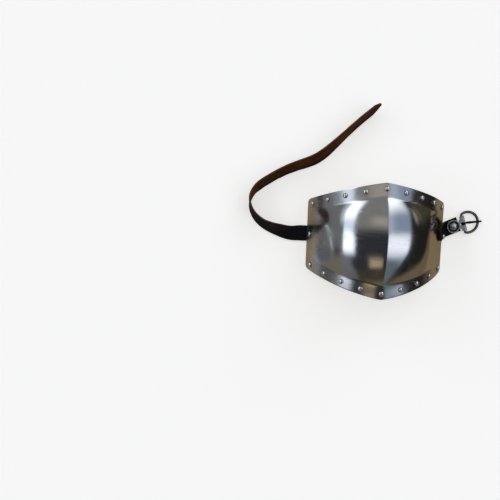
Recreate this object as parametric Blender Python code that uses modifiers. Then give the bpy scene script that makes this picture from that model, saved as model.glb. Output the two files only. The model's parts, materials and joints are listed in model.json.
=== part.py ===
"""Elbow cop of a harness: a fluted steel couter with its rivets, strap and buckle.

Run with: blender --background --python part.py
Units are metres, +Z is up.  The couter lies dome up on a table.  Its ridge, which follows the
arm, runs along +Y.  The long strap leaves the left wing and the buckle strap the right one.
"""

import math

import bmesh
import bpy
import numpy as np
from mathutils import Matrix, Vector

MM = 0.001
GAP = 0.3 * MM                      # clearance kept between neighbouring pieces
DRILL_DEPTH = 14 * MM               # length of a drill, enough to pass right through

# Where the middle of the plate stands, so that the whole object's footprint is centred on 0, 0
PLATE_CENTRE = Vector((12.69 * MM, -47.63 * MM, 0.0))

# ---- plate: sizes are measured over the outside of the steel -------------------------------
STEEL = 1.2 * MM                    # sheet thickness
HALF_GIRTH = 112.5 * MM             # from the ridge over the flange down to a side edge
RIDGE_SLOPE = math.radians(3.0)     # slope of the flange beside the ridge
SIDE_SLOPE = math.radians(61.8)     # slope of the wing at its side edge
SLOPE_POWER = 0.75                  # how fast the slope grows from the ridge to the edge
PEAK_REACH = 70.9 * MM              # half of the plate's length along the ridge
CORNER_REACH = 43.7 * MM            # half of its length at the side edges
EDGE_POWER = 1.2                    # 1 would be a straight edge from peak to corner
CORNER_RADIUS = 5.0 * MM
FLANGE = 17.0 * MM                  # band left outside the crease of the dome
DOME_RISE = 10.5 * MM               # how far the dome stands straight up from the flange's curve
DOME_SHOULDER_GIRTH = 56.0 * MM     # from the ridge to where the dome turns down into the wing
DOME_HALF_GIRTH = 84.0 * MM         # from the ridge to where it has died into the wing
KEEL_RISE = 2.5 * MM                # extra height along the ridge
KEEL_REACH = 17.0 * MM
TOP_FALL_POWER = 2.8                # a high power keeps the dome straight, then drops it fast
BOTTOM_FALL_POWER = 2.4
PLATE_COLUMNS = 39                  # girths of the grid between the rounded corners
CORNER_ANGLES = (30.0, 60.0, 90.0)  # degrees round a corner, for its own columns
DOME_ROWS = 19                      # rows of the grid over the dome
DOME_ROW_CROWDING = 0.45            # 0 spaces the dome's rows evenly, 1 crowds them at its creases

# ---- how the plate lies ---------------------------------------------------------------------
LEFT_EDGE_LIFT = 3.6 * MM           # the left side edge lies on the strap, the right on the table

# ---- rivets ----------------------------------------------------------------------------------
RIVETS_PER_EDGE = 9
RIVET_INSET = 7.5 * MM              # from the top or bottom edge
RIVET_SIDE_INSET = 9.5 * MM         # from the side edge, for the last rivet of a row
RIVET_HEAD_RADIUS = 3.2 * MM
RIVET_HEAD_HEIGHT = 2.1 * MM
RIVET_SHANK_RADIUS = 1.5 * MM
RIVET_TAIL_RADIUS = 2.4 * MM
RIVET_TAIL_HEIGHT = 0.8 * MM
RIVET_TAIL_TAPER = 0.92             # radius of the tail's end face, as a share of its widest
HEAD_ANGLES = (0.0, 28.0, 56.0, 90.0)   # degrees from the top of a head to its rim
HOLE_RADIUS = 2.0 * MM
STRAP_RIVET_UP_WING = 6.2 * MM      # a strap's rivet, from the side edge

# ---- long strap ------------------------------------------------------------------------------
STRAP_WIDTH = 20.0 * MM
STRAP_THICKNESS = 2.6 * MM
STRAP_END_UP_WING = 14.0 * MM       # how far its riveted end reaches up inside the wing
STRAP_BEND = 3.0 * MM               # radius at mid thickness where it turns out under the edge
STRAP_TIP_SHIFT = 2.5 * MM          # the point lies off the middle of the strap
STRAP_TIP_LENGTHS = (9.0 * MM, 15.0 * MM)
STRAP_TIP_POWER = 0.8               # under 1 rounds the two sides of the point
STRAP_TIP_BLUNTING = 1.0 * MM
STRAP_STATION = 5.0 * MM            # spacing of its cross-sections
STRAP_WING_STATIONS = 14            # cross-sections up the wing and round the bend
STRAP_RUN_OUT = 6.0 * MM            # from the bend to where the way over the table starts
STRAP_LIFT = 0.06 * MM              # keeps its twisted edge off the table
STRAP_ROWS = 2                      # faces across its width
STRAP_CORNER = 4.0 * MM             # rounding of its riveted end
# The strap's way over the table, from the wing to the tip.  x and y are in mm from the middle
# of the plate, and roll is the strap's turn in degrees: 0 lies flat with the grain up, 90
# stands on its outer edge, and more leans outward, flesh side up.
STRAP_ROUTE = (
    # x,      y,    roll
    (-97.0, 0.0, 0.0),
    (-108.5, 1.4, 20.0),
    (-121.5, 4.3, 39.0),
    (-134.0, 9.0, 52.0),
    (-145.0, 16.2, 65.0),
    (-152.8, 25.5, 78.0),
    (-157.3, 36.5, 89.0),
    (-156.6, 49.0, 101.0),
    (-150.2, 60.5, 110.0),
    (-139.5, 69.8, 115.0),
    (-123.5, 79.4, 119.0),
    (-101.5, 89.0, 125.0),
    (-80.5, 96.0, 129.0),
    (-62.5, 107.5, 124.0),
    (-45.5, 123.5, 114.0),
    (-28.4, 141.0, 110.0),
    (-11.4, 156.4, 110.0),
    (-1.8, 164.2, 110.0),
)

# ---- buckle strap: short, on the outside of the right wing --------------------------------------
TAB_WIDTH = 19.0 * MM
TAB_THICKNESS = 2.8 * MM
TAB_LIFT = 1.3 * MM                 # it lies on the tail of the rosette's rivet
TAB_BEND = 5.0 * MM
TAB_TURN = math.radians(24.0)       # it swings up from the +X direction
TAB_BEHIND = 28.0 * MM              # from the rosette back to its end on the wing
TAB_AHEAD = 8.0 * MM                # from the rosette to its free end
TAB_CORNER = 4.0 * MM
TAB_RIVET_OFFSET = -5.6 * MM        # its rivet sits beside the middle line
TAB_COLUMNS = 24
TAB_ROWS = 6

# ---- buckle: placed from the rosette's centre ------------------------------------------------------
ROSETTE_PLACE = Vector((99.0 * MM, 15.0 * MM, 0.0))
BUCKLE_TURN = math.radians(17.0)
CHAPE_THICKNESS = 1.2 * MM
BAR_FROM_ROSETTE = 13.8 * MM
BAR_RADIUS = 1.5 * MM
BAR_HEIGHT = 3.1 * MM
BAR_BEHIND_CENTRE = 6.0 * MM        # the bar is a chord of the ring
RING_RADIUS = 13.2 * MM             # to the middle of the wire
CHAPE_CURL = math.radians(250.0)
CHAPE_TAB_RADIUS = 5.5 * MM
CHAPE_WAIST = 3.9 * MM              # half width of the hourglass
CHAPE_HALF_WIDTH = 9.6 * MM
SLOT_WIDTH = 2.9 * MM
CHAPE_WAIST_BEHIND_BAR = 5.6 * MM
CHAPE_FULL_BEHIND_BAR = 0.6 * MM    # where it has reached its full width
CHAPE_ROWS = 4
SLOT_BEHIND_BAR = 4.4 * MM
SLOT_PAST_BAR = 6.0 * MM
EYE_WIDTH = 2.2 * MM
EYE_RADIUS = 2.8 * MM
ROD_START = 1.9 * MM                # the tongue's rod grows out of the eye
TONGUE_LENGTH = 23.2 * MM
TONGUE_ROOT_RADIUS = 1.05 * MM
TONGUE_TIP_RADIUS = 0.65 * MM
TONGUE_ROOT_HEIGHT = 1.35 * MM      # over the bar's axis
TONGUE_TIP_HEIGHT = 0.85 * MM
RING_CLEARANCE = 0.02 * MM          # between the ring's far side and the table
ROSETTE_RADIUS = 8.8 * MM
ROSETTE_HEIGHT = 2.0 * MM
ROSETTE_HOLE = 1.9 * MM
ROSETTE_SCALLOPS = 12
ROSETTE_SCALLOP_DEPTH = 0.5 * MM
ROSETTE_FIELD = 7.0 * MM            # radius outside which the scallops are cut
ROSETTE_STEPS = 36
BOSS_RADIUS = 4.2 * MM
BOSS_HEIGHT = 2.8 * MM
BOSS_TAIL_RADIUS = 3.4 * MM

LEATHER = {"color": (0.020, 0.019, 0.022, 1.0), "roughness": 0.48, "metallic": 0.0}
POLISHED_STEEL = {"color": (0.56, 0.55, 0.54, 1.0), "roughness": 0.22, "metallic": 1.0}
DARK_METAL = {"color": (0.20, 0.20, 0.21, 1.0), "roughness": 0.36, "metallic": 1.0}


# ---------------------------------------------------------------------------------------------
# Scene and object helpers
# ---------------------------------------------------------------------------------------------
def clear_scene():
    """Remove every object that the file starts with."""
    for scene_object in list(bpy.data.objects):
        bpy.data.objects.remove(scene_object, do_unlink=True)


def make_collection(name):
    """Add an empty collection to the scene."""
    collection = bpy.data.collections.new(name)
    bpy.context.scene.collection.children.link(collection)
    return collection


def make_material(name, finish):
    """Make a Principled material from a finish table."""
    material = bpy.data.materials.new(name)
    material.use_nodes = True
    shader = material.node_tree.nodes["Principled BSDF"]
    shader.inputs["Base Color"].default_value = finish["color"]
    shader.inputs["Roughness"].default_value = finish["roughness"]
    shader.inputs["Metallic"].default_value = finish["metallic"]
    material.diffuse_color = finish["color"]
    return material


def add_object(collection, name, mesh, parent, material=None):
    """Put a mesh in a collection under a parent, with its material."""
    new_object = bpy.data.objects.new(name, mesh)
    collection.objects.link(new_object)
    new_object.parent = parent
    if material is not None and not mesh.materials:
        mesh.materials.append(material)
    return new_object


def add_empty(collection, name, parent, matrix):
    """Add an empty that carries other objects."""
    empty = bpy.data.objects.new(name, None)
    empty.empty_display_size = 10 * MM
    collection.objects.link(empty)
    empty.parent = parent
    empty.matrix_basis = matrix
    return empty


def mesh_from_bmesh(name, form):
    """Turn a bmesh into a mesh and free it."""
    mesh = bpy.data.meshes.new(name)
    form.to_mesh(mesh)
    form.free()
    return mesh


def sheet_mesh(name, columns, rows, place):
    """Form a flat grid into a curved sheet: place(column, row) gives each point."""
    form = bmesh.new()
    bmesh.ops.create_grid(form, x_segments=columns, y_segments=rows, size=0.5)
    for vertex in form.verts:
        column = round((vertex.co.x + 0.5) * columns)
        row = round((vertex.co.y + 0.5) * rows)
        vertex.co = place(column, row)
    return mesh_from_bmesh(name, form)


def turned_mesh(name, profile, steps, closed=False):
    """Turn a profile of (radius, height) points about Z: top to bottom on its outer side."""
    form = bmesh.new()
    points = [form.verts.new((radius, 0.0, height)) for radius, height in profile]
    for start, end in zip(points, points[1:] + points[:1] if closed else points[1:]):
        form.edges.new((start, end))
    blank = bpy.data.objects.new(name + "_profile", mesh_from_bmesh(name + "_profile", form))
    bpy.context.scene.collection.objects.link(blank)
    screw = blank.modifiers.new("Turn", "SCREW")
    screw.steps = steps
    screw.render_steps = steps
    screw.use_merge_vertices = True
    screw.merge_threshold = 0.01 * MM
    mesh = evaluated_mesh(blank, name)
    bpy.data.objects.remove(blank, do_unlink=True)
    return mesh


def evaluated_mesh(source, name):
    """Return the mesh of an object as its modifiers leave it."""
    depsgraph = bpy.context.evaluated_depsgraph_get()
    mesh = bpy.data.meshes.new_from_object(source.evaluated_get(depsgraph))
    mesh.name = name
    return mesh


def smooth(item, degrees=40.0):
    """Shade an object's mesh smooth, except over sharp corners."""
    item.data.shade_smooth()
    item.data.set_sharp_from_angle(angle=math.radians(degrees))


def solidify(item, thickness, offset):
    """Give a sheet its thickness."""
    modifier = item.modifiers.new("Thickness", "SOLIDIFY")
    modifier.thickness = thickness
    modifier.offset = offset
    modifier.use_even_offset = True


def cut_holes(item, cutters, name, places, radius, sides=8):
    """Drill round holes: each place is a matrix whose Z runs along the hole."""
    form = bmesh.new()
    for place in places:
        bmesh.ops.create_cone(form, cap_ends=True, segments=sides, radius1=radius,
                              radius2=radius, depth=DRILL_DEPTH, matrix=place)
    cut_with(item, cutters, mesh_from_bmesh(name, form))


def cut_with(item, cutters, mesh, operation="DIFFERENCE"):
    """Cut an object with a mesh, or join the mesh to it, in the object's own space."""
    tool = add_object(cutters, mesh.name, mesh, item.parent)
    tool.matrix_basis = item.matrix_basis
    tool.hide_render = True
    tool.display_type = "WIRE"
    modifier = item.modifiers.new(mesh.name, "BOOLEAN")
    modifier.operation = operation
    modifier.object = tool
    modifier.solver = "EXACT"


# ---------------------------------------------------------------------------------------------
# The plate's shape
# ---------------------------------------------------------------------------------------------
def flange_slope(girth):
    """Slope of the flange's curve at a distance over the steel from the ridge."""
    growth = (abs(girth) / HALF_GIRTH) ** SLOPE_POWER
    return RIDGE_SLOPE + (SIDE_SLOPE - RIDGE_SLOPE) * growth


def flange_curve():
    """Table of girth, sideways distance and height of the flange's curve, by small steps."""
    girth = np.linspace(0.0, HALF_GIRTH, 600)
    slope = RIDGE_SLOPE + (SIDE_SLOPE - RIDGE_SLOPE) * (girth / HALF_GIRTH) ** SLOPE_POWER
    step = girth[1]
    across = np.concatenate([[0.0], np.cumsum((np.cos(slope[1:]) + np.cos(slope[:-1])) / 2 * step)])
    fall = np.concatenate([[0.0], np.cumsum((np.sin(slope[1:]) + np.sin(slope[:-1])) / 2 * step)])
    return girth, across, fall[-1] - fall


GIRTH_TABLE, ACROSS_TABLE, HEIGHT_TABLE = flange_curve()
HALF_WIDTH = float(ACROSS_TABLE[-1])


def flange_point(girth, along, lift=0.0):
    """Point on the flange's curve, lifted along its normal; girth is signed, + to the right."""
    side = math.copysign(1.0, girth)
    slope = flange_slope(girth)
    across = float(np.interp(abs(girth), GIRTH_TABLE, ACROSS_TABLE))
    height = float(np.interp(abs(girth), GIRTH_TABLE, HEIGHT_TABLE))
    return Vector((side * (across + lift * math.sin(slope)), along, height + lift * math.cos(slope)))


def edge_reach(girth):
    """Distance along Y from the middle to the straight top or bottom edge."""
    return CORNER_REACH + (PEAK_REACH - CORNER_REACH) * (1 - (abs(girth) / HALF_GIRTH) ** EDGE_POWER)


def corner_loss(girth):
    """How much a rounded corner takes off the edge near the side of the plate."""
    into_corner = max(0.0, abs(girth) - (HALF_GIRTH - CORNER_RADIUS))
    return CORNER_RADIUS - math.sqrt(max(0.0, CORNER_RADIUS ** 2 - into_corner ** 2))


def dome_lift(girth, row):
    """Lift of the dome out of the flange's curve; row is -1 and 1 at its creases.

    The cosine makes it a rise straight up, so the dome slopes as the flanges beside it do, and
    the smooth step share * share * (3 - 2 * share) takes it down between its shoulder and wing.
    """
    if abs(row) >= 1.0 or abs(girth) >= DOME_HALF_GIRTH:
        return 0.0
    fall = DOME_HALF_GIRTH - DOME_SHOULDER_GIRTH
    share = max(0.0, abs(girth) - DOME_SHOULDER_GIRTH) / fall
    sideways = math.cos(flange_slope(girth)) * (1 - share * share * (3 - 2 * share))
    lengthways = 1 - abs(row) ** (TOP_FALL_POWER if row > 0 else BOTTOM_FALL_POWER)
    keel = KEEL_RISE * math.exp(-abs(girth) / KEEL_REACH)
    return (DOME_RISE * sideways + keel) * lengthways


def plate_columns():
    """Girths of the grid's columns: even, and closer in the rounded corners."""
    straight = HALF_GIRTH - CORNER_RADIUS
    middle = np.linspace(-straight, straight, PLATE_COLUMNS)
    corner = straight + CORNER_RADIUS * np.sin(np.radians(CORNER_ANGLES))
    return np.concatenate([-corner[::-1], middle, corner])


def plate_rows():
    """Rows of the grid: 1 to 2 crosses a flange, and -1 to 1 the dome, closer at its creases."""
    crowded = np.sin(np.linspace(-math.pi / 2, math.pi / 2, DOME_ROWS))
    even = np.linspace(-1.0, 1.0, DOME_ROWS)
    dome = DOME_ROW_CROWDING * crowded + (1 - DOME_ROW_CROWDING) * even
    return np.concatenate([[-2.0, -1.5], dome, [1.5, 2.0]])


def plate_point(girth, row):
    """Point on the outside of the plate."""
    crease = edge_reach(girth) - FLANGE
    if abs(row) <= 1.0:
        return flange_point(girth, row * crease, dome_lift(girth, row))
    outer = edge_reach(girth) - corner_loss(girth)
    along = crease + (outer - crease) * (abs(row) - 1.0)
    return flange_point(girth, math.copysign(along, row))


def on_plate(girth, along):
    """Matrix of a piece that stands on the flange or a wing, its Z out of the steel."""
    tilt = math.copysign(flange_slope(girth), girth) if abs(girth) > MM else 0.0
    return Matrix.Translation(flange_point(girth, along)) @ Matrix.Rotation(tilt, 4, "Y")


def rivet_places(sign):
    """Nine places along the top (+1) or bottom (-1) edge, from left to right."""
    last = HALF_GIRTH - RIVET_SIDE_INSET
    return [on_plate(girth, sign * (edge_reach(girth) - RIVET_INSET))
            for girth in np.linspace(-last, last, RIVETS_PER_EDGE)]


PLATE_ROLL = math.asin(LEFT_EDGE_LIFT / (2 * HALF_WIDTH))


def plate_frame_matrix():
    """How the plate lies: its right edge on the table, its left edge lifted by the strap."""
    rim_drop = STEEL * math.cos(SIDE_SLOPE)
    hinge = Vector((HALF_WIDTH, 0.0, rim_drop))
    return (Matrix.Translation(hinge) @ Matrix.Rotation(PLATE_ROLL, 4, "Y")
            @ Matrix.Translation(Vector((-HALF_WIDTH, 0.0, 0.0))))


PLATE_FRAME = plate_frame_matrix()


# ---------------------------------------------------------------------------------------------
# Rivets
# ---------------------------------------------------------------------------------------------
def rivet_mesh(name, seat, grip, head=(RIVET_HEAD_RADIUS, RIVET_HEAD_HEIGHT),
               tail=(RIVET_TAIL_RADIUS, RIVET_TAIL_HEIGHT), shank=RIVET_SHANK_RADIUS, steps=10):
    """A rivet: domed head from height seat up, and a flat tail beyond depth grip below 0."""
    radius, height = head
    tail_radius, tail_height = tail
    dome = [(radius * math.sin(angle), seat + height * math.cos(angle))
            for angle in np.radians(HEAD_ANGLES)]
    profile = dome + [
        (shank, seat),
        (shank, -grip),
        (tail_radius, -grip),
        (tail_radius * RIVET_TAIL_TAPER, -grip - tail_height),
        (0.0, -grip - tail_height),
    ]
    return turned_mesh(name, profile, steps)


def build_border_rivets(parts, frame, steel):
    """Eighteen rivets along the top and bottom edges."""
    mesh = rivet_mesh("border_rivet", GAP, STEEL + GAP)
    for row_name, sign in (("top", 1), ("bottom", -1)):
        for number, place in enumerate(rivet_places(sign), start=1):
            rivet = add_object(parts, f"rivet_{row_name}_{number}", mesh, frame, steel)
            rivet.matrix_basis = place
            smooth(rivet)


# ---------------------------------------------------------------------------------------------
# Plate
# ---------------------------------------------------------------------------------------------
def strap_rivet_places():
    """The long strap's rivet on the left wing, and the buckle strap's on the right."""
    girth = HALF_GIRTH - STRAP_RIVET_UP_WING
    return on_plate(-girth, 0.0), on_plate(girth, tab_rivet_along())


def build_plate(parts, cutters, frame, steel):
    """The hollow steel cop, drilled for every rivet."""
    columns = plate_columns()
    rows = plate_rows()
    mesh = sheet_mesh("couter_plate", len(columns) - 1, len(rows) - 1,
                      lambda column, row: plate_point(float(columns[column]), float(rows[row])))
    plate = add_object(parts, "couter_plate", mesh, frame, steel)
    smooth(plate)
    solidify(plate, STEEL, -1.0)
    holes = rivet_places(1) + rivet_places(-1) + list(strap_rivet_places())
    cut_holes(plate, cutters, "plate_drill", holes, HOLE_RADIUS)
    return plate


# ---------------------------------------------------------------------------------------------
# Straps
# ---------------------------------------------------------------------------------------------
def natural_spline(table, count):
    """Smooth curve through the rows of a table, sampled at count even steps of its length."""
    table = np.asarray(table, dtype=float)
    knots = np.concatenate([[0.0], np.cumsum(np.linalg.norm(np.diff(table[:, :3], axis=0), axis=1))])
    gaps = np.diff(knots)
    system = np.eye(len(knots))
    right = np.zeros_like(table)
    for row in range(1, len(knots) - 1):
        system[row, row - 1:row + 2] = gaps[row - 1], 2 * (gaps[row - 1] + gaps[row]), gaps[row]
        right[row] = 6 * ((table[row + 1] - table[row]) / gaps[row]
                          - (table[row] - table[row - 1]) / gaps[row - 1])
    bend = np.linalg.solve(system, right)
    where = np.linspace(0.0, knots[-1], count)
    span = np.clip(np.searchsorted(knots, where, side="right") - 1, 0, len(gaps) - 1)
    width = gaps[span][:, None]
    after = (where - knots[span])[:, None]
    before = width - after
    return (bend[span] * before ** 3 / (6 * width) + bend[span + 1] * after ** 3 / (6 * width)
            + (table[span] / width - bend[span] * width / 6) * before
            + (table[span + 1] / width - bend[span + 1] * width / 6) * after)


def wing_place(side, up_wing):
    """Matrix on a wing at a distance up from its side edge, negative in line beyond the edge."""
    beyond = Matrix.Translation((side * max(0.0, -up_wing), 0.0, 0.0))
    return PLATE_FRAME @ on_plate(side * (HALF_GIRTH - max(0.0, up_wing)), 0.0) @ beyond


class Fold:
    """Section of a strap that comes down a wing and turns out over the table.

    side is -1 on the left and 1 on the right.  lift is the strap's middle line over the
    outside of the steel, negative inside, and level its height over the table.  Distances
    along the section count from the middle of the bend, negative up the wing.
    """

    def __init__(self, side, lift, radius, level):
        self.side = side
        self.lift = lift
        self.radius = radius
        low, high = -6 * MM, 20 * MM
        while high - low > 0.001 * MM:
            self.start = (low + high) / 2
            self.slope = (flange_slope(HALF_GIRTH - max(0.0, self.start)) + side * PLATE_ROLL)
            self.centre = wing_place(side, self.start) @ Vector((0.0, 0.0, lift + radius))
            if self.centre.z - radius < level:
                low = self.start
            else:
                high = self.start
        self.half_arc = self.slope * radius / 2

    def point(self, distance):
        """Point of the middle line at a distance along the section."""
        if distance < -self.half_arc:
            up_wing = self.start - distance - self.half_arc
            return wing_place(self.side, up_wing) @ Vector((0.0, 0.0, self.lift))
        turn = max(0.0, self.slope / 2 - distance / self.radius)
        straight = max(0.0, distance - self.half_arc)
        out = straight - self.radius * math.sin(turn)
        return self.centre + Vector((self.side * out, 0.0, -self.radius * math.cos(turn)))

    def distance_up_wing(self, up_wing):
        """Distance along the section of a point on the wing."""
        return self.start - self.half_arc - up_wing

    def distance_out(self, x):
        """Distance along the section of a point over the table."""
        return self.half_arc + abs(x - self.centre.x)


def strap_line():
    """Middle line and roll of the long strap, from its riveted end to its tip, in metres."""
    section = Fold(-1, -(STEEL + GAP + STRAP_THICKNESS / 2), STRAP_BEND,
                   STRAP_THICKNESS / 2 + STRAP_LIFT)
    start = section.distance_up_wing(STRAP_END_UP_WING)
    wing = [(*section.point(float(distance)), 0.0)
            for distance in np.linspace(start, STRAP_RUN_OUT, STRAP_WING_STATIONS)]
    table = []
    for x, y, roll in STRAP_ROUTE:
        turn = math.radians(roll)
        height = (STRAP_WIDTH * abs(math.sin(turn)) + STRAP_THICKNESS * abs(math.cos(turn))) / 2
        table.append((x * MM, y * MM, height + STRAP_LIFT, turn))
    length = sum(math.dist(start[:3], end[:3]) for start, end in zip(table, table[1:]))
    return np.vstack([wing, natural_spline(table, round(length / STRAP_STATION))])


def strap_frames(line):
    """Tangent, width direction and grain side's normal at each station of the long strap."""
    tangent = np.gradient(line[:, :3], axis=0)
    tangent /= np.linalg.norm(tangent, axis=1)[:, None]
    level = np.column_stack([tangent[:, 1], -tangent[:, 0], np.zeros(len(line))])
    level /= np.linalg.norm(level, axis=1)[:, None]
    upward = np.cross(level, tangent)
    turn = line[:, 3][:, None]
    across = np.cos(turn) * level + np.sin(turn) * upward
    return tangent, across, np.cross(across, tangent)


def strap_sides(from_start, to_tip):
    """Half widths of the strap towards its upper and lower edge, at one station."""
    half = STRAP_WIDTH / 2
    blunt = to_tip + STRAP_TIP_BLUNTING
    upper_share, lower_share = (min(1.0, blunt / length) ** STRAP_TIP_POWER
                                for length in STRAP_TIP_LENGTHS)
    upper = STRAP_TIP_SHIFT + (half - STRAP_TIP_SHIFT) * upper_share
    lower = -STRAP_TIP_SHIFT + (half + STRAP_TIP_SHIFT) * lower_share
    rounding = math.sqrt(max(0.0, STRAP_CORNER ** 2 - max(0.0, STRAP_CORNER - from_start) ** 2))
    loss = STRAP_CORNER - rounding
    return upper - loss, lower - loss


def build_long_strap(parts, cutters, frame, leather):
    """The long strap, riveted inside the left wing and pointed at its free end."""
    line = strap_line()
    steps = np.linalg.norm(np.diff(line[:, :3], axis=0), axis=1)
    travelled = np.concatenate([[0.0], np.cumsum(steps)])
    tangent, across, normal = strap_frames(line)

    def place(column, row):
        upper, lower = strap_sides(travelled[column], travelled[-1] - travelled[column])
        reach = -lower + (upper + lower) * row / STRAP_ROWS
        return Vector(line[column, :3] + reach * across[column])

    mesh = sheet_mesh("long_strap", len(line) - 1, STRAP_ROWS, place)
    strap = add_object(parts, "long_strap", mesh, frame, leather)
    smooth(strap)
    solidify(strap, STRAP_THICKNESS, 0.0)

    holes = [PLATE_FRAME @ strap_rivet_places()[0]]
    cut_holes(strap, cutters, "strap_rivet_drill", holes, HOLE_RADIUS)
    return strap


def tab_fold():
    """Section of the buckle strap."""
    return Fold(1, GAP + TAB_THICKNESS / 2, TAB_BEND, TAB_LIFT + TAB_THICKNESS / 2)


def tab_rivet_along():
    """Y of the buckle strap's rivet, which lies beside the strap's middle line."""
    section = tab_fold()
    back = section.distance_out(ROSETTE_PLACE.x) - section.distance_up_wing(STRAP_RIVET_UP_WING)
    distance = (TAB_RIVET_OFFSET * math.sin(TAB_TURN) - back) / math.cos(TAB_TURN)
    return (ROSETTE_PLACE.y + distance * math.sin(TAB_TURN)
            + TAB_RIVET_OFFSET * math.cos(TAB_TURN))


def build_buckle_strap(parts, cutters, frame, leather):
    """The short strap on the right wing, which carries the buckle."""
    section = tab_fold()
    rosette_out = section.distance_out(ROSETTE_PLACE.x)
    ends = np.linspace(0.0, 1.0, TAB_COLUMNS + 1) * (TAB_BEHIND + TAB_AHEAD) - TAB_BEHIND

    def place(column, row):
        distance = float(ends[column])
        into_corner = max(0.0, TAB_CORNER - (distance + TAB_BEHIND))
        loss = TAB_CORNER - math.sqrt(max(0.0, TAB_CORNER ** 2 - into_corner ** 2))
        sideways = (row / TAB_ROWS - 0.5) * (TAB_WIDTH - 2 * loss)
        out = rosette_out + distance * math.cos(TAB_TURN) - sideways * math.sin(TAB_TURN)
        along = distance * math.sin(TAB_TURN) + sideways * math.cos(TAB_TURN)
        return section.point(out) + Vector((0.0, ROSETTE_PLACE.y + along, 0.0))

    mesh = sheet_mesh("buckle_strap", TAB_COLUMNS, TAB_ROWS, place)
    strap = add_object(parts, "buckle_strap", mesh, frame, leather)
    smooth(strap)
    solidify(strap, TAB_THICKNESS, 0.0)
    holes = [PLATE_FRAME @ strap_rivet_places()[1], Matrix.Translation(ROSETTE_PLACE)]
    cut_holes(strap, cutters, "buckle_strap_drill", holes, HOLE_RADIUS)
    return strap


def build_strap_rivets(parts, frame, steel):
    """The two rivets that hold the straps to the wings, heads outward."""
    left, right = strap_rivet_places()
    inside = rivet_mesh("strap_rivet_mesh", GAP, STEEL + 2 * GAP + STRAP_THICKNESS)
    rivet = add_object(parts, "strap_rivet", inside, frame, steel)
    rivet.matrix_basis = left
    smooth(rivet)
    outside = rivet_mesh("buckle_strap_rivet_mesh", TAB_THICKNESS + 2 * GAP, STEEL + GAP)
    rivet = add_object(parts, "buckle_strap_rivet", outside, frame, steel)
    rivet.matrix_basis = right
    smooth(rivet)


# ---------------------------------------------------------------------------------------------
# Buckle: local X runs from the rosette towards the ring
# ---------------------------------------------------------------------------------------------
def chape_section(distance):
    """Height and place of the chape's middle surface at a distance from the rosette."""
    seat = TAB_LIFT + TAB_THICKNESS + GAP + CHAPE_THICKNESS / 2
    curl_radius = BAR_RADIUS + GAP + CHAPE_THICKNESS / 2
    if distance <= BAR_FROM_ROSETTE:
        ramp_start = ROSETTE_RADIUS
        rise = BAR_HEIGHT + curl_radius - seat
        share = max(0.0, (distance - ramp_start) / (BAR_FROM_ROSETTE - ramp_start))
        return distance, seat + rise * share * share * (3 - 2 * share)
    turn = (distance - BAR_FROM_ROSETTE) / curl_radius
    return (BAR_FROM_ROSETTE + curl_radius * math.sin(turn),
            BAR_HEIGHT + curl_radius * math.cos(turn))


def chape_half_width(distance):
    """Half width of the hourglass plate: round tab, waist, then the full width at the bar."""
    waist_at = BAR_FROM_ROSETTE - CHAPE_WAIST_BEHIND_BAR
    if distance < waist_at:
        round_tab = math.sqrt(max(0.0, CHAPE_TAB_RADIUS ** 2 - min(distance, 0.0) ** 2))
        share = max(0.0, distance / waist_at)
        return round_tab + (CHAPE_WAIST - CHAPE_TAB_RADIUS) * share
    widening = CHAPE_WAIST_BEHIND_BAR - CHAPE_FULL_BEHIND_BAR
    share = min(1.0, (distance - waist_at) / widening)
    return CHAPE_WAIST + (CHAPE_HALF_WIDTH - CHAPE_WAIST) * math.sin(share * math.pi / 2)


def build_chape(parts, cutters, frame, metal):
    """The hourglass plate, curled round the bar, slotted for the tongue."""
    curl_length = CHAPE_CURL * (BAR_RADIUS + GAP + CHAPE_THICKNESS / 2)
    tab = -CHAPE_TAB_RADIUS * np.cos(np.linspace(0.15, math.pi / 2, 6))
    flat = np.linspace(0.0, BAR_FROM_ROSETTE, 12)[1:]
    curl = BAR_FROM_ROSETTE + np.linspace(0.0, curl_length, 13)[1:]
    stations = np.concatenate([tab, flat, curl])

    def place(column, row):
        distance = float(stations[column])
        x, z = chape_section(distance)
        return Vector((x, (row / CHAPE_ROWS - 0.5) * 2 * chape_half_width(distance), z))

    mesh = sheet_mesh("chape", len(stations) - 1, CHAPE_ROWS, place)
    chape = add_object(parts, "chape", mesh, frame, metal)
    smooth(chape)
    solidify(chape, CHAPE_THICKNESS, 0.0)
    cut_holes(chape, cutters, "chape_drill", [Matrix.Identity(4)], HOLE_RADIUS)

    slot = bmesh.new()
    bmesh.ops.create_cube(slot, size=1.0)
    slot_length = SLOT_BEHIND_BAR + SLOT_PAST_BAR
    middle = BAR_FROM_ROSETTE - SLOT_BEHIND_BAR + slot_length / 2
    bmesh.ops.scale(slot, vec=(slot_length, SLOT_WIDTH, DRILL_DEPTH), verts=slot.verts)
    bmesh.ops.translate(slot, vec=(middle, 0.0, BAR_HEIGHT), verts=slot.verts)
    cut_with(chape, cutters, mesh_from_bmesh("chape_slot", slot))
    return chape


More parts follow.
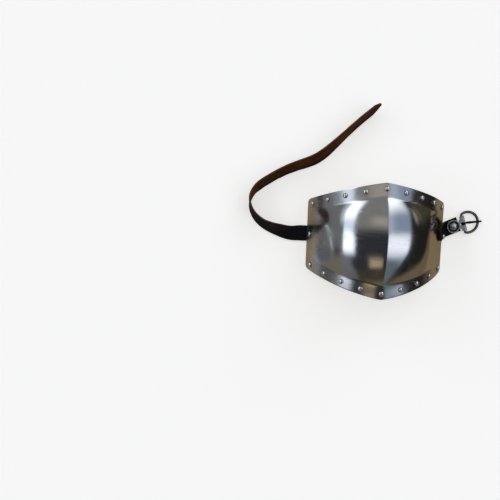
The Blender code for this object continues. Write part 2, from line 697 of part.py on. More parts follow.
def build_ring(parts, frame, metal):
    """The ring with its straight bar, one closed wire; its origin is on the bar's axis."""
    half_bar = math.sqrt(RING_RADIUS ** 2 - BAR_BEHIND_CENTRE ** 2)
    sweep = math.atan2(half_bar, -BAR_BEHIND_CENTRE)
    arc = [(BAR_BEHIND_CENTRE + RING_RADIUS * math.cos(angle), RING_RADIUS * math.sin(angle))
           for angle in np.linspace(-sweep, sweep, 25)]
    bar = [(0.0, y) for y in np.linspace(half_bar, -half_bar, 6)[1:-1]]
    curve = bpy.data.curves.new("buckle_ring", "CURVE")
    curve.dimensions = "3D"
    curve.bevel_depth = BAR_RADIUS
    curve.bevel_resolution = 2
    spline = curve.splines.new("POLY")
    spline.points.add(len(arc) + len(bar) - 1)
    for point, (x, y) in zip(spline.points, arc + bar):
        point.co = (x, y, 0.0, 1.0)
    spline.use_cyclic_u = True
    blank = bpy.data.objects.new("buckle_ring_wire", curve)
    bpy.context.scene.collection.objects.link(blank)
    mesh = evaluated_mesh(blank, "buckle_ring")
    bpy.data.objects.remove(blank, do_unlink=True)
    mesh.materials.clear()
    ring = add_object(parts, "buckle_ring", mesh, frame, metal)
    smooth(ring, 60.0)
    return ring


def build_tongue(parts, cutters, frame, metal):
    """The tongue: an eye round the bar and a tapered rod; its origin is on the bar's axis."""
    inner = BAR_RADIUS + GAP
    half = EYE_WIDTH / 2
    section = [(inner, half), (EYE_RADIUS, half), (EYE_RADIUS, -half), (inner, -half)]
    eye = turned_mesh("tongue", section, 20, closed=True)
    eye.transform(Matrix.Rotation(math.radians(90.0), 4, "X"))
    tongue = add_object(parts, "tongue", eye, frame, metal)
    root = Vector((ROD_START, 0.0, TONGUE_ROOT_HEIGHT))
    tip = Vector((TONGUE_LENGTH, 0.0, TONGUE_TIP_HEIGHT))
    rod = bmesh.new()
    bmesh.ops.create_cone(rod, cap_ends=True, segments=10, radius1=TONGUE_ROOT_RADIUS,
                          radius2=TONGUE_TIP_RADIUS, depth=(tip - root).length)
    lean = (tip - root).to_track_quat("Z", "Y").to_matrix().to_4x4()
    rod.transform(Matrix.Translation((root + tip) / 2) @ lean)
    cut_with(tongue, cutters, mesh_from_bmesh("tongue_rod", rod), "UNION")
    smooth(tongue)
    return tongue


def build_rosette(parts, frame, metal):
    """The scalloped washer over the chape."""
    seat = TAB_LIFT + TAB_THICKNESS + 2 * GAP + CHAPE_THICKNESS
    profile = [
        (ROSETTE_HOLE, seat + ROSETTE_HEIGHT),
        (5.2 * MM, seat + ROSETTE_HEIGHT),
        (6.2 * MM, seat + 1.2 * MM),
        (7.6 * MM, seat + 1.3 * MM),
        (ROSETTE_RADIUS, seat + 0.7 * MM),
        (ROSETTE_RADIUS, seat),
        (ROSETTE_HOLE, seat),
    ]
    mesh = turned_mesh("rosette", profile, ROSETTE_STEPS, closed=True)
    for vertex in mesh.vertices:
        radius = math.hypot(vertex.co.x, vertex.co.y)
        if radius > ROSETTE_FIELD:
            wave = math.cos(ROSETTE_SCALLOPS * math.atan2(vertex.co.y, vertex.co.x))
            scale = 1 - ROSETTE_SCALLOP_DEPTH * (1 - wave) / (2 * radius)
            vertex.co.x *= scale
            vertex.co.y *= scale
    rosette = add_object(parts, "rosette", mesh, frame, metal)
    smooth(rosette, 35.0)
    return rosette


def build_rosette_rivet(parts, frame, steel):
    """The large rivet through rosette, chape and strap, its tail flat on the table."""
    seat = TAB_LIFT + TAB_THICKNESS + 3 * GAP + CHAPE_THICKNESS + ROSETTE_HEIGHT
    tail_top = TAB_LIFT - GAP
    mesh = rivet_mesh("rosette_rivet", seat, -tail_top, head=(BOSS_RADIUS, BOSS_HEIGHT),
                      tail=(BOSS_TAIL_RADIUS, tail_top), steps=16)
    rivet = add_object(parts, "rosette_rivet", mesh, frame, steel)
    smooth(rivet)
    return rivet


def build_couter():
    """Build the whole couter."""
    clear_scene()
    parts = make_collection("couter")
    cutters = make_collection("cutters")
    leather = make_material("black_leather", LEATHER)
    steel = make_material("polished_steel", POLISHED_STEEL)
    metal = make_material("dark_metal", DARK_METAL)

    whole = add_empty(parts, "couter_place", None, Matrix.Translation(PLATE_CENTRE))
    plate_frame = add_empty(parts, "plate_place", whole, PLATE_FRAME)
    buckle_place = Matrix.Translation(ROSETTE_PLACE) @ Matrix.Rotation(BUCKLE_TURN, 4, "Z")
    buckle_frame = add_empty(parts, "buckle_place", whole, buckle_place)
    bar_axis = add_empty(parts, "bar_axis", buckle_frame,
                         Matrix.Translation((BAR_FROM_ROSETTE, 0.0, BAR_HEIGHT)))
    far_side = RING_RADIUS + BAR_BEHIND_CENTRE
    fall = math.asin((BAR_HEIGHT - BAR_RADIUS - RING_CLEARANCE) / far_side)
    ring_frame = add_empty(parts, "ring_place", bar_axis, Matrix.Rotation(fall, 4, "Y"))

    build_plate(parts, cutters, plate_frame, steel)
    build_border_rivets(parts, plate_frame, steel)
    build_strap_rivets(parts, plate_frame, steel)
    build_long_strap(parts, cutters, whole, leather)
    build_buckle_strap(parts, cutters, whole, leather)
    build_chape(parts, cutters, buckle_frame, metal)
    build_ring(parts, ring_frame, metal)
    build_tongue(parts, cutters, bar_axis, metal)
    build_rosette(parts, buckle_frame, metal)
    build_rosette_rivet(parts, buckle_frame, steel)


build_couter()
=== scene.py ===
"""A fluted steel couter, the elbow cop of a harness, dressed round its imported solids.

The couter lies dome up on a table.  Its ridge, which follows the arm, runs along +Y, the long
strap leaves the left wing (-X) and the buckle strap the right one.  Sizes are metres, +Z is up.
"""

import json
import logging
import math
from dataclasses import dataclass, field
from enum import Enum
from typing import Callable, Optional, Sequence, Union

import bpy
import numpy as np
from mathutils import Matrix

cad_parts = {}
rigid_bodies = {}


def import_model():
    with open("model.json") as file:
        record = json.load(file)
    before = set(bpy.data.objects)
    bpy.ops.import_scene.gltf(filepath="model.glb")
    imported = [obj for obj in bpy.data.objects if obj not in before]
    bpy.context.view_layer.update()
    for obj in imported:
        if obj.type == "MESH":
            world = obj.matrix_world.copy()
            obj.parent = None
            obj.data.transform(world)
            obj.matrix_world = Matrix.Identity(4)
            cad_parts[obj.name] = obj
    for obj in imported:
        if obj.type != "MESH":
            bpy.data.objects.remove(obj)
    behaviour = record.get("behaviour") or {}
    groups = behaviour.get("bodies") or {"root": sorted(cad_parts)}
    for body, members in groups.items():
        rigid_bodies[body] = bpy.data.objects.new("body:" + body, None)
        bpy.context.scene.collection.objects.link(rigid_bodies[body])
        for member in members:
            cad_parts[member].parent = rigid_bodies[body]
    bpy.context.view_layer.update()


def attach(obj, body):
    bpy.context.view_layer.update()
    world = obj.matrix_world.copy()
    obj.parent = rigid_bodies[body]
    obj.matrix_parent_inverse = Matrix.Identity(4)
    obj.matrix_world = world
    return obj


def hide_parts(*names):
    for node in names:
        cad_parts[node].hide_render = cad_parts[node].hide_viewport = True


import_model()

LOG = logging.getLogger("couter")
MM = 0.001
GAP = 0.3 * MM
SURFACE_MAP = "surface"

Array = np.ndarray
Colour = tuple[float, float, float]
Scale = tuple[float, float, float]
Number = Union["Signal", float]


class Body(Enum):
    """The rigid bodies that a piece can ride on."""

    COUTER = "couter"
    RING = "ring"
    TONGUE = "tongue"


class Slot(Enum):
    """The finishes that the record names."""

    STEEL = "polished_steel"
    LEATHER = "black_leather"
    METAL = "dark_metal"


class Wing(Enum):
    """The two wings of the cop, by the sign of their place along X."""

    LEFT = -1
    RIGHT = 1


# ---- Shader arithmetic ----
class Signal:
    """One output socket of a material, on which arithmetic adds Math nodes."""

    def __init__(self, tree: bpy.types.NodeTree, socket: bpy.types.NodeSocket) -> None:
        """Keep the socket and the tree that its Math nodes go in.

        Args:
            tree: node tree that the socket is in.
            socket: an output socket.
        """
        self.tree = tree
        self.socket = socket

    def _math(self, operation: str, *terms: Number) -> "Signal":
        """Add one Math node.

        Args:
            operation: the node's operation.
            terms: its inputs in order, as signals or numbers.

        Returns:
            The node's result.
        """
        node = self.tree.nodes.new("ShaderNodeMath")
        node.operation = operation
        for place, term in zip(node.inputs, terms):
            if isinstance(term, Signal):
                self.tree.links.new(term.socket, place)
            else:
                place.default_value = float(term)
        return Signal(self.tree, node.outputs[0])

    def __add__(self, other: Number) -> "Signal":
        """Sum."""
        return self._math("ADD", self, other)

    def __radd__(self, other: Number) -> "Signal":
        """Sum with a number on the left."""
        return self._math("ADD", other, self)

    def __sub__(self, other: Number) -> "Signal":
        """Difference."""
        return self._math("SUBTRACT", self, other)

    def __rsub__(self, other: Number) -> "Signal":
        """A number less this signal."""
        return self._math("SUBTRACT", other, self)

    def __mul__(self, other: Number) -> "Signal":
        """Product."""
        return self._math("MULTIPLY", self, other)

    def __rmul__(self, other: Number) -> "Signal":
        """Product with a number on the left."""
        return self._math("MULTIPLY", other, self)

    def __truediv__(self, other: Number) -> "Signal":
        """Quotient."""
        return self._math("DIVIDE", self, other)

    def angle_from(self, other: "Signal") -> "Signal":
        """Angle in radians whose tangent is this signal over the other one."""
        return self._math("ARCTAN2", self, other)

    def held(self) -> "Signal":
        """The signal kept between 0 and 1."""
        return self._math("MINIMUM", self._math("MAXIMUM", self, 0.0), 1.0)

    def step(self, low: float, high: float) -> "Signal":
        """Rise smoothly from 0 at low to 1 at high, or fall where high is under low.

        Args:
            low: value at which the result is 0.
            high: value at which the result is 1.

        Returns:
            share * share * (3 - 2 * share) of the held share from low to high.
        """
        share = ((self - low) / (high - low)).held()
        return share * share * (3 - 2 * share)


class Paint:
    """A node tree in the making, and the shader that the nodes feed."""

    def __init__(self, name: str, owner: Optional[bpy.types.ID] = None,
                 shader: str = "Principled BSDF") -> None:
        """Start a material, or take the nodes of a given owner.

        Args:
            name: the material's name.
            owner: a data-block with nodes of its own, such as a world.
            shader: the node that the others feed.
        """
        self.material = owner or bpy.data.materials.new(name)
        self.material.use_nodes = True
        self.tree = self.material.node_tree
        self.shader = self.tree.nodes[shader]

    def feed(self, place: bpy.types.NodeSocket, value: object) -> None:
        """Link a signal to an input socket, or set the socket's own value.

        Args:
            place: the input socket.
            value: a signal, a number, or a sequence for a colour or vector.
        """
        if isinstance(value, Signal):
            self.tree.links.new(value.socket, place)
        else:
            place.default_value = value

    def node(self, kind: str, settings: Optional[dict] = None, inputs: Optional[dict] = None,
             output: Union[int, str] = 0) -> Signal:
        """Add a node of any kind.

        Args:
            kind: the node's type.
            settings: its properties, such as a Mix node's data type, which are set first.
            inputs: its sockets by name or number, with signals or values.
            output: which output to return.

        Returns:
            The chosen output.
        """
        node = self.tree.nodes.new(kind)
        for name, value in (settings or {}).items():
            setattr(node, name, value)
        for name, value in (inputs or {}).items():
            self.feed(node.inputs[name], value)
        return Signal(self.tree, node.outputs[output])

    def place(self) -> Signal:
        """The point on the object, in metres."""
        return self.node("ShaderNodeTexCoord", output="Object")

    def surface(self) -> Signal:
        """The point on the piece's own surface map, in metres over the surface."""
        return self.node("ShaderNodeUVMap", {"uv_map": SURFACE_MAP})

    def mark(self, name: str) -> Signal:
        """A number that the mesh carries at each of its points."""
        return self.node("ShaderNodeAttribute", {"attribute_name": name}, output="Fac")

    def scaled(self, where: Signal, scale: Scale, turn: float = 0.0) -> Signal:
        """Stretch and turn a pattern's coordinates.

        Args:
            where: the coordinates.
            scale: factor along each axis.
            turn: turn about the third axis, in radians.

        Returns:
            The new coordinates.
        """
        return self.node("ShaderNodeMapping", {},
                         {"Vector": where, "Scale": scale, "Rotation": (0.0, 0.0, turn)})

    def noise(self, where: Signal, scale: float = 1.0, detail: float = 3.0,
              roughness: float = 0.5, distortion: float = 0.0) -> Signal:
        """Soft noise from 0 to 1 about a middle of 0.5.

        Args:
            where: the coordinates.
            scale: lumps to a unit of the coordinates.
            detail: how many finer layers are added.
            roughness: strength of each finer layer against the one before.
            distortion: how far the lumps are stirred.

        Returns:
            The noise.
        """
        return self.node("ShaderNodeTexNoise", {"noise_dimensions": "3D"},
                         {"Vector": where, "Scale": scale, "Detail": detail,
                          "Roughness": roughness, "Distortion": distortion})

    def cells(self, where: Signal, scale: float) -> Signal:
        """Distance from the middle of each Voronoi cell, with scale cells to a metre."""
        return self.node("ShaderNodeTexVoronoi", {}, {"Vector": where, "Scale": scale},
                         output="Distance")

    def blend(self, share: Number, first: object, second: object) -> Signal:
        """Mix two colours: share 0 gives the first and 1 the second."""
        return self.node("ShaderNodeMix", {"data_type": "RGBA"},
                         {0: share, 6: opaque(first), 7: opaque(second)}, output=2)

    def relief(self, height: Signal, depth: float, strength: float = 1.0) -> Signal:
        """Normal of a surface with a fine relief.

        Args:
            height: the relief, from 0 to 1.
            depth: its real depth in metres.
            strength: share of the relief that shows.

        Returns:
            The bent normal.
        """
        return self.node("ShaderNodeBump", {},
                         {"Height": height, "Distance": depth, "Strength": strength})

    def dress(self, uniform: dict, varying: dict) -> bpy.types.Material:
        """Set the shader's sockets.

        Args:
            uniform: sockets with one value all over.
            varying: sockets fed by a signal.

        Returns:
            The finished material.
        """
        for name, value in {**uniform, **varying}.items():
            self.feed(self.shader.inputs[name], value)
        return self.material


def opaque(colour: object) -> object:
    """Give a colour its alpha, and leave a signal as it is."""
    return colour if isinstance(colour, Signal) else (*colour, 1.0)


# ---- Finishes ----
@dataclass(frozen=True)
class PolishedSteel:
    """Hand-polished sheet steel, brushed across the arm."""

    name: str = "steel_polished"
    tone: Colour = (0.50, 0.50, 0.51)
    handled: float = 0.93               # share of the tone that is left under clouds of handling
    grazing_tone: Colour = (0.78, 0.74, 0.66)
    roughness: float = 0.10
    satin: float = 0.05                 # roughness gained where the polish is duller
    brush_depth: float = 0.035 * MM
    fine_marks: Scale = (22.0, 2600.0, 1.0)         # marks to a metre, across and along the arm
    coarse_marks: Scale = (9.0, 640.0, 1.0)
    scratches: Scale = (60.0, 2200.0, 1.0)
    scratch_turn: float = 0.9
    clouds: float = 38.0                # clouds to a metre

    def paint(self) -> bpy.types.Material:
        """Fine marks along the girth, soft clouds of handling, and a few stray scratches.

        The mark called satin is 1 where the polish is duller.

        Returns:
            The material, which reads the piece's surface map.
        """
        paint = Paint(self.name)
        over = paint.surface()
        fine = paint.noise(paint.scaled(over, self.fine_marks), 1.0, 2.0, 0.6)
        coarse = paint.noise(paint.scaled(over, self.coarse_marks), 1.0, 3.0, 0.6)
        cloud = paint.noise(paint.place(), self.clouds, 4.0, 0.55)
        stray = paint.noise(paint.scaled(over, self.scratches, self.scratch_turn), 1.0, 0.0)
        stray = stray.step(0.72, 0.80)
        marks = 0.6 * fine + 0.4 * coarse
        clouded = tuple(self.handled * part for part in self.tone)
        colour = paint.blend(cloud.step(0.35, 0.7), clouded, self.tone)
        rough = (self.roughness + 0.10 * (fine - 0.4).held() + 0.10 * cloud.step(0.45, 0.75)
                 + self.satin * paint.mark("satin"))
        return paint.dress({"Metallic": 1.0, "Specular Tint": opaque(self.grazing_tone)},
                           {"Base Color": colour, "Roughness": rough + 0.12 * stray,
                            "Normal": paint.relief(marks + 0.25 * stray, self.brush_depth)})


@dataclass(frozen=True)
class RivetSteel:
    """Bright domed heads, darkened round their seats by grime and painted shade."""

    name: str = "steel_rivet"
    tone: Colour = (0.66, 0.65, 0.64)
    # near-black of grime and painted shade round the head's seat
    shade_and_grime: Colour = (0.014, 0.012, 0.011)
    lumps: float = 900.0                # hammer marks to a metre
    lump_depth: float = 0.05 * MM
    grit: float = 2600.0                # specks to a metre

    def paint(self) -> bpy.types.Material:
        """Hammer marks over the head, darkened by grime and painted shade where the mark called
        seat rises to 1.

        Returns:
            The material.
        """
        paint = Paint(self.name)
        where = paint.place()
        lumps = paint.noise(where, self.lumps, 2.0, 0.5)
        grit = paint.noise(where, self.grit, 3.0, 0.6)
        # seat: grime and painted shade, darkest over the head's lower flank and its seat
        seat = (paint.mark("seat") + 0.25 * (grit - 0.5)).step(0.30, 0.75)
        colour = paint.blend(seat, self.tone, self.shade_and_grime)
        return paint.dress({},
                           {"Base Color": colour, "Metallic": 1.0 - 0.7 * seat,
                            "Roughness": 0.17 + 0.12 * grit + 0.35 * seat,
                            "Normal": paint.relief(lumps, self.lump_depth)})


@dataclass(frozen=True)
class StrapLeather:
    """Vegetable-tanned strap leather, dyed black on its grain and left brown on its flesh."""

    name: str = "leather_strap"
    black: Colour = (0.0075, 0.0080, 0.0110)
    black_worn: Colour = (0.026, 0.025, 0.030)
    flesh: Colour = (0.034, 0.0078, 0.0008)
    flesh_light: Colour = (0.125, 0.038, 0.0060)
    edge: Colour = (0.115, 0.047, 0.017)
    # painted shade: near-black for the flesh and edge along the strap's lower side, by the table
    table_shade_tone: Colour = (0.0050, 0.0015, 0.0006)
    pores: float = 1500.0               # pores to a metre
    lumps: float = 420.0                # lumps of the grain to a metre
    wear: float = 60.0                  # worn places to a metre
    fibres: Scale = (900.0, 260.0, 1.0)
    patches: float = 45.0               # lighter patches of the flesh to a metre
    relief_depth: float = 0.16 * MM

    def paint(self) -> bpy.types.Material:
        """Grain, flesh and cut edge, told apart by the marks flesh and edge of the mesh.

        The mark called raw says how brown the cut edge is, and a third mark lays painted shade on
        the flesh and the edge near the table.

        Returns:
            The material.
        """
        paint = Paint(self.name)
        over = paint.surface()
        flesh = paint.mark("flesh").step(0.42, 0.58)
        edge = paint.mark("edge").step(0.30, 0.75)
        pores = paint.cells(over, self.pores)
        lumps = paint.noise(over, self.lumps, 4.0, 0.6)
        worn = paint.noise(over, self.wear, 4.0, 0.6).step(0.52, 0.72)
        fibre = paint.noise(paint.scaled(over, self.fibres), 1.0, 5.0, 0.7, 0.6)
        patch = paint.noise(over, self.patches, 3.0, 0.5)
        grain = paint.blend(0.7 * worn, self.black, self.black_worn)
        nap = paint.blend((0.65 * fibre.step(0.35, 0.70) + 0.5 * patch.step(0.40, 0.70)).held(),
                          self.flesh, self.flesh_light)
        colour = paint.blend(flesh, grain, nap)
        colour = paint.blend(edge * paint.mark("raw"), colour, self.edge)
        # painted shade of the table, darkening the flesh and edge along the lower side
        colour = paint.blend(paint.mark("table_shade") + 0.3 * (fibre - 0.5) * paint.mark("table_shade"),
                             colour, self.table_shade_tone)
        relief = (1.0 - flesh) * (0.5 * lumps + 0.5 * pores) + flesh * fibre
        rough = 0.34 + 0.18 * lumps + flesh * 0.45
        return paint.dress({"Specular IOR Level": 0.14},
                           {"Base Color": colour, "Roughness": rough,
                            "Normal": paint.relief(relief, self.relief_depth, 0.8)})


@dataclass(frozen=True)
class Gunmetal:
    """Antiqued casting: dark in its hollows and lighter where worn, with painted highlight and
    painted shade on the ring and the tongue.
    """

    name: str = "metal_antique"
    dark: Colour = (0.018, 0.018, 0.020)
    bright: Colour = (0.50, 0.515, 0.555)
    grain: float = 1500.0               # grains of the casting to a metre
    grain_depth: float = 0.05 * MM
    patches: float = 320.0              # unevenly rubbed patches to a metre

    def paint(self) -> bpy.types.Material:
        """Brightness follows one mark, which holds the wear of chape and rosette and the painted
        highlight and shade of ring and tongue, broken up by the casting's grain.

        Returns:
            The material.
        """
        paint = Paint(self.name)
        where = paint.place()
        grain = paint.noise(where, self.grain, 4.0, 0.6)
        patch = paint.noise(where, self.patches, 3.0, 0.5)
        # wear of chape and rosette, with painted highlight and painted shade on ring and tongue
        brightened = paint.mark("rubbed_and_lit") + 0.5 * (patch - 0.5) + 0.3 * (grain - 0.5)
        brightened = brightened.step(0.25, 0.80)
        colour = paint.blend(brightened, self.dark, self.bright)
        return paint.dress({"Metallic": 1.0},
                           {"Base Color": colour,
                            "Roughness": 0.46 + 0.10 * brightened + 0.10 * grain,
                            "Normal": paint.relief(grain, self.grain_depth)})


@dataclass(frozen=True)
class TableTop:
    """A plain surface to stand on, lit a little from inside as a light table is."""

    name: str
    tone: Colour
    glow: float

    def paint(self) -> bpy.types.Material:
        """A matt, even surface.

        Returns:
            The material.
        """
        return Paint(self.name).dress(
            {"Base Color": opaque(self.tone), "Roughness": 0.9, "Specular IOR Level": 0.1,
             "Emission Color": opaque(self.tone), "Emission Strength": self.glow}, {})


# ---- Meshes from grids of points ----
@dataclass
class Grid:
    """A surface as a grid of points; its outside is where row direction x column direction is."""

    points: Array                                   # (rows, columns, 3)
    around: bool = False                            # the last column joins the first
    ring: bool = False                              # the last row joins the first
    surface: Optional[Array] = None                 # (rows, columns, 2) surface map
    marks: dict[str, Array] = field(default_factory=dict)   # (rows, columns) numbers

    def mesh(self, name: str) -> bpy.types.Mesh:
        """Join the grid's points by quads, and close a tube's two ends by a fan each.

        Args:
            name: the mesh's name.

        Returns:
            A mesh with its surface map and its marks.
        """
        rows, columns = self.points.shape[:2]
        row, column = np.meshgrid(np.arange(rows - (not self.ring)),
                                  np.arange(columns - (not self.around)), indexing="ij")
        steps = ((0, 0), (1, 0), (1, 1), (0, 1))
        quads = np.stack([((row + down) % rows) * columns + (column + right) % columns
                          for down, right in steps], axis=-1).reshape(-1, 4)
        where = np.stack([np.stack([row + down, column + right], axis=-1)
                          for down, right in steps], axis=2).reshape(-1, 2)
        points = self.points.reshape(-1, 3)
        faces = quads.tolist()
        if self.around and not self.ring:
            start = np.arange(columns)
            following = (start + 1) % columns
            last = (rows - 1) * columns
            centre = len(points)
            points = np.vstack([points, self.points[0].mean(axis=0), self.points[-1].mean(axis=0)])
            first_fan = np.column_stack([start, following, np.full(columns, centre)])
            last_fan = np.column_stack([last + following, last + start,
                                        np.full(columns, centre + 1)])
            faces += first_fan.tolist() + last_fan.tolist()
        mesh = bpy.data.meshes.new(name)
        mesh.from_pydata(points, [], faces)
        self._map(mesh, where)
        for mark, values in self.marks.items():
            column_of_values = values.ravel()
            if len(points) > len(column_of_values):
                column_of_values = np.append(column_of_values, [values[0].mean(),
                                                                values[-1].mean()])
            layer = mesh.attributes.new(mark, "FLOAT", "POINT")
            layer.data.foreach_set("value", column_of_values.astype(np.float32))
        mesh.shade_smooth()
        return mesh

    def _map(self, mesh: bpy.types.Mesh, where: Array) -> None:
        """Write the surface map, grown by a step where the grid closes.

        Args:
            mesh: the mesh, quads first and then the two fans.
            where: row and column of each corner of the quads.
        """
        if self.surface is None:
            return
        rows, columns = self.points.shape[:2]
        grown = np.pad(self.surface, ((0, 1), (0, 1), (0, 0)), mode="edge")
        if self.around:
            width = self.surface[:, -1] - self.surface[:, -2]
            grown[:rows, columns] = self.surface[:, -1] + width
            grown[rows, columns] = grown[rows - 1, columns]
        if self.ring:
            grown[rows] = grown[rows - 1] + (grown[rows - 1] - grown[rows - 2])
        layer = mesh.uv_layers.new(name=SURFACE_MAP)
        corners = np.zeros((len(mesh.loops), 2), np.float32)
        corners[:len(where)] = grown[where[:, 0], where[:, 1]]
        if self.around and not self.ring:
            first = np.vstack([self.surface[0], self.surface[0, :1]])
            last = np.vstack([self.surface[-1], self.surface[-1, :1]])
            fan = np.zeros((2 * columns, 3, 2))
            fan[:columns, 0], fan[:columns, 1] = first[:-1], first[1:]
            fan[columns:, 0], fan[columns:, 1] = last[1:], last[:-1]
            fan[:columns, 2] = self.surface[0].mean(axis=0)
            fan[columns:, 2] = self.surface[-1].mean(axis=0)
            corners[len(where):] = fan.reshape(-1, 2)
        layer.data.foreach_set("uv", corners.ravel())


def add_piece(mesh: bpy.types.Mesh, body: Body, material: bpy.types.Material,
              nodes: Sequence[str]) -> bpy.types.Object:
    """Show a finished mesh as a piece that rides on a body and stands for solids.

    Args:
        mesh: the mesh, with its place in its points.
        body: the body it moves with.
        material: its finish.
        nodes: the solids that it stands for.

    Returns:
        The piece, which sits at the origin.
    """
    piece = bpy.data.objects.new(mesh.name, mesh)
    bpy.context.scene.collection.objects.link(piece)
    mesh.materials.clear()
    mesh.materials.append(material)
    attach(piece, body.value)
    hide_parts(*nodes)
    LOG.info("%s: %d points, %d faces, rides on %s", piece.name, len(mesh.vertices),
             len(mesh.polygons), body.value)
    return piece


def finished(mesh: bpy.types.Mesh, *steps: tuple[str, dict]) -> bpy.types.Mesh:
    """Run a mesh through modifiers and return the result.

    Args:
        mesh: the blank, which is used up.
        steps: each modifier's type and its settings.

    Returns:
        A mesh of the same name.
    """
    name = mesh.name
    blank = bpy.data.objects.new(name + "_blank", mesh)
    bpy.context.scene.collection.objects.link(blank)
    for kind, settings in steps:
        modifier = blank.modifiers.new(kind.title(), kind)
        for setting, value in settings.items():
            setattr(modifier, setting, value)
    graph = bpy.context.evaluated_depsgraph_get()
    result = bpy.data.meshes.new_from_object(blank.evaluated_get(graph))
    bpy.data.objects.remove(blank, do_unlink=True)
    bpy.data.meshes.remove(mesh)
    result.name = name
    return result


def joined(mesh: bpy.types.Mesh, tool: bpy.types.Mesh, operation: str) -> bpy.types.Mesh:
    """Cut a closed mesh with another one, or weld the two together.

    Args:
        mesh: the closed mesh.
        tool: the other closed mesh, which is used up.
        operation: DIFFERENCE or UNION.

    Returns:
        The resulting mesh.
    """
    holder = bpy.data.objects.new(tool.name, tool)
    bpy.context.scene.collection.objects.link(holder)
    result = finished(mesh, ("BOOLEAN", {"operation": operation, "object": holder,
                                         "solver": "EXACT"}))
    bpy.data.objects.remove(holder, do_unlink=True)
    return result


def carried(points: Array, matrix: Array) -> Array:
    """Move points by a 4 x 4 matrix, whatever the shape of their array."""
    return points @ matrix[:3, :3].T + matrix[:3, 3]


def shift(x: float, y: float, z: float) -> Array:
    """Matrix of a shift.

    Args:
        x: distance along X.
        y: distance along Y.
        z: distance upwards.

    Returns:
        A 4 x 4 matrix.
    """
    matrix = np.eye(4)
    matrix[:3, 3] = x, y, z
    return matrix


def turn(angle: float, axis: str) -> Array:
    """Matrix of a right-handed turn about an axis.

    Args:
        angle: the turn in radians.
        axis: X, Y or Z.

    Returns:
        A 4 x 4 matrix.
    """
    matrix = np.eye(4)
    first, second = {"X": (1, 2), "Y": (2, 0), "Z": (0, 1)}[axis]
    matrix[first, first] = matrix[second, second] = math.cos(angle)
    matrix[second, first] = math.sin(angle)
    matrix[first, second] = -math.sin(angle)
    return matrix


def unit(vectors: Array) -> Array:
    """Scale vectors to length 1."""
    return vectors / np.linalg.norm(vectors, axis=-1, keepdims=True)


def lengths(line: Array) -> Array:
    """Distance travelled along a line of points, from 0 at its first point."""
    steps = np.linalg.norm(np.diff(line[:, :3], axis=0), axis=1)
    return np.concatenate([[0.0], np.cumsum(steps)])


def eased(share: Array) -> Array:
    """Smooth step: share * share * (3 - 2 * share) of a share held between 0 and 1."""
    held = np.clip(share, 0.0, 1.0)
    return held * held * (3 - 2 * held)


def rounded_off(into: Array, radius: float) -> Array:
    """What a quarter circle takes off a corner, by the distance into it; none before it."""
    into = np.maximum(0.0, into)
    return radius - np.sqrt(np.maximum(0.0, radius ** 2 - into ** 2))


def waviness(first: Array, second: Array, wave: float, seed: int, count: int = 28) -> Array:
    """Gentle unevenness over a surface: the sum of plane waves of seeded direction and phase.

    Each wave is cos(k . (first, second) + phase), with lengths from wave to 2.5 times it.

    Args:
        first: one surface coordinate, in metres.
        second: the other.
        wave: the shortest wavelength.
        seed: number that fixes the waves.
        count: how many waves.

    Returns:
        Values with a spread of about 1.
    """
    random = np.random.default_rng(seed)
    angle = random.uniform(0, math.pi, count)
    number = 2 * math.pi / (wave * random.uniform(1.0, 2.5, count))
    phase = random.uniform(0, 2 * math.pi, count)
    total = np.zeros(np.broadcast(first, second).shape)
    for turn_of_wave, frequency, start in zip(angle, number, phase):
        along = first * math.cos(turn_of_wave) + second * math.sin(turn_of_wave)
        total += np.cos(frequency * along + start)
    return total * math.sqrt(2 / count)


def turned(profile: Array, steps: int, scallop: Optional[Callable] = None) -> Array:
    """Turn a profile about Z.

    A point at (radius r, height z) and angle a goes to (r cos a, r sin a, z).

    Args:
        profile: (points, 2) radius and height, from the top down on the outer side.
        steps: points round the axis.
        scallop: function of radius, height and angle that returns a changed radius and height.

    Returns:
        A (points, steps, 3) grid.
    """
    angle = np.linspace(0, 2 * math.pi, steps, endpoint=False)[None, :]
    radius = profile[:, :1] + 0 * angle
    height = profile[:, 1:] + 0 * angle
    if scallop is not None:
        radius, height = scallop(radius, height, angle)
    return np.stack([radius * np.cos(angle), radius * np.sin(angle), height + 0 * angle], axis=-1)


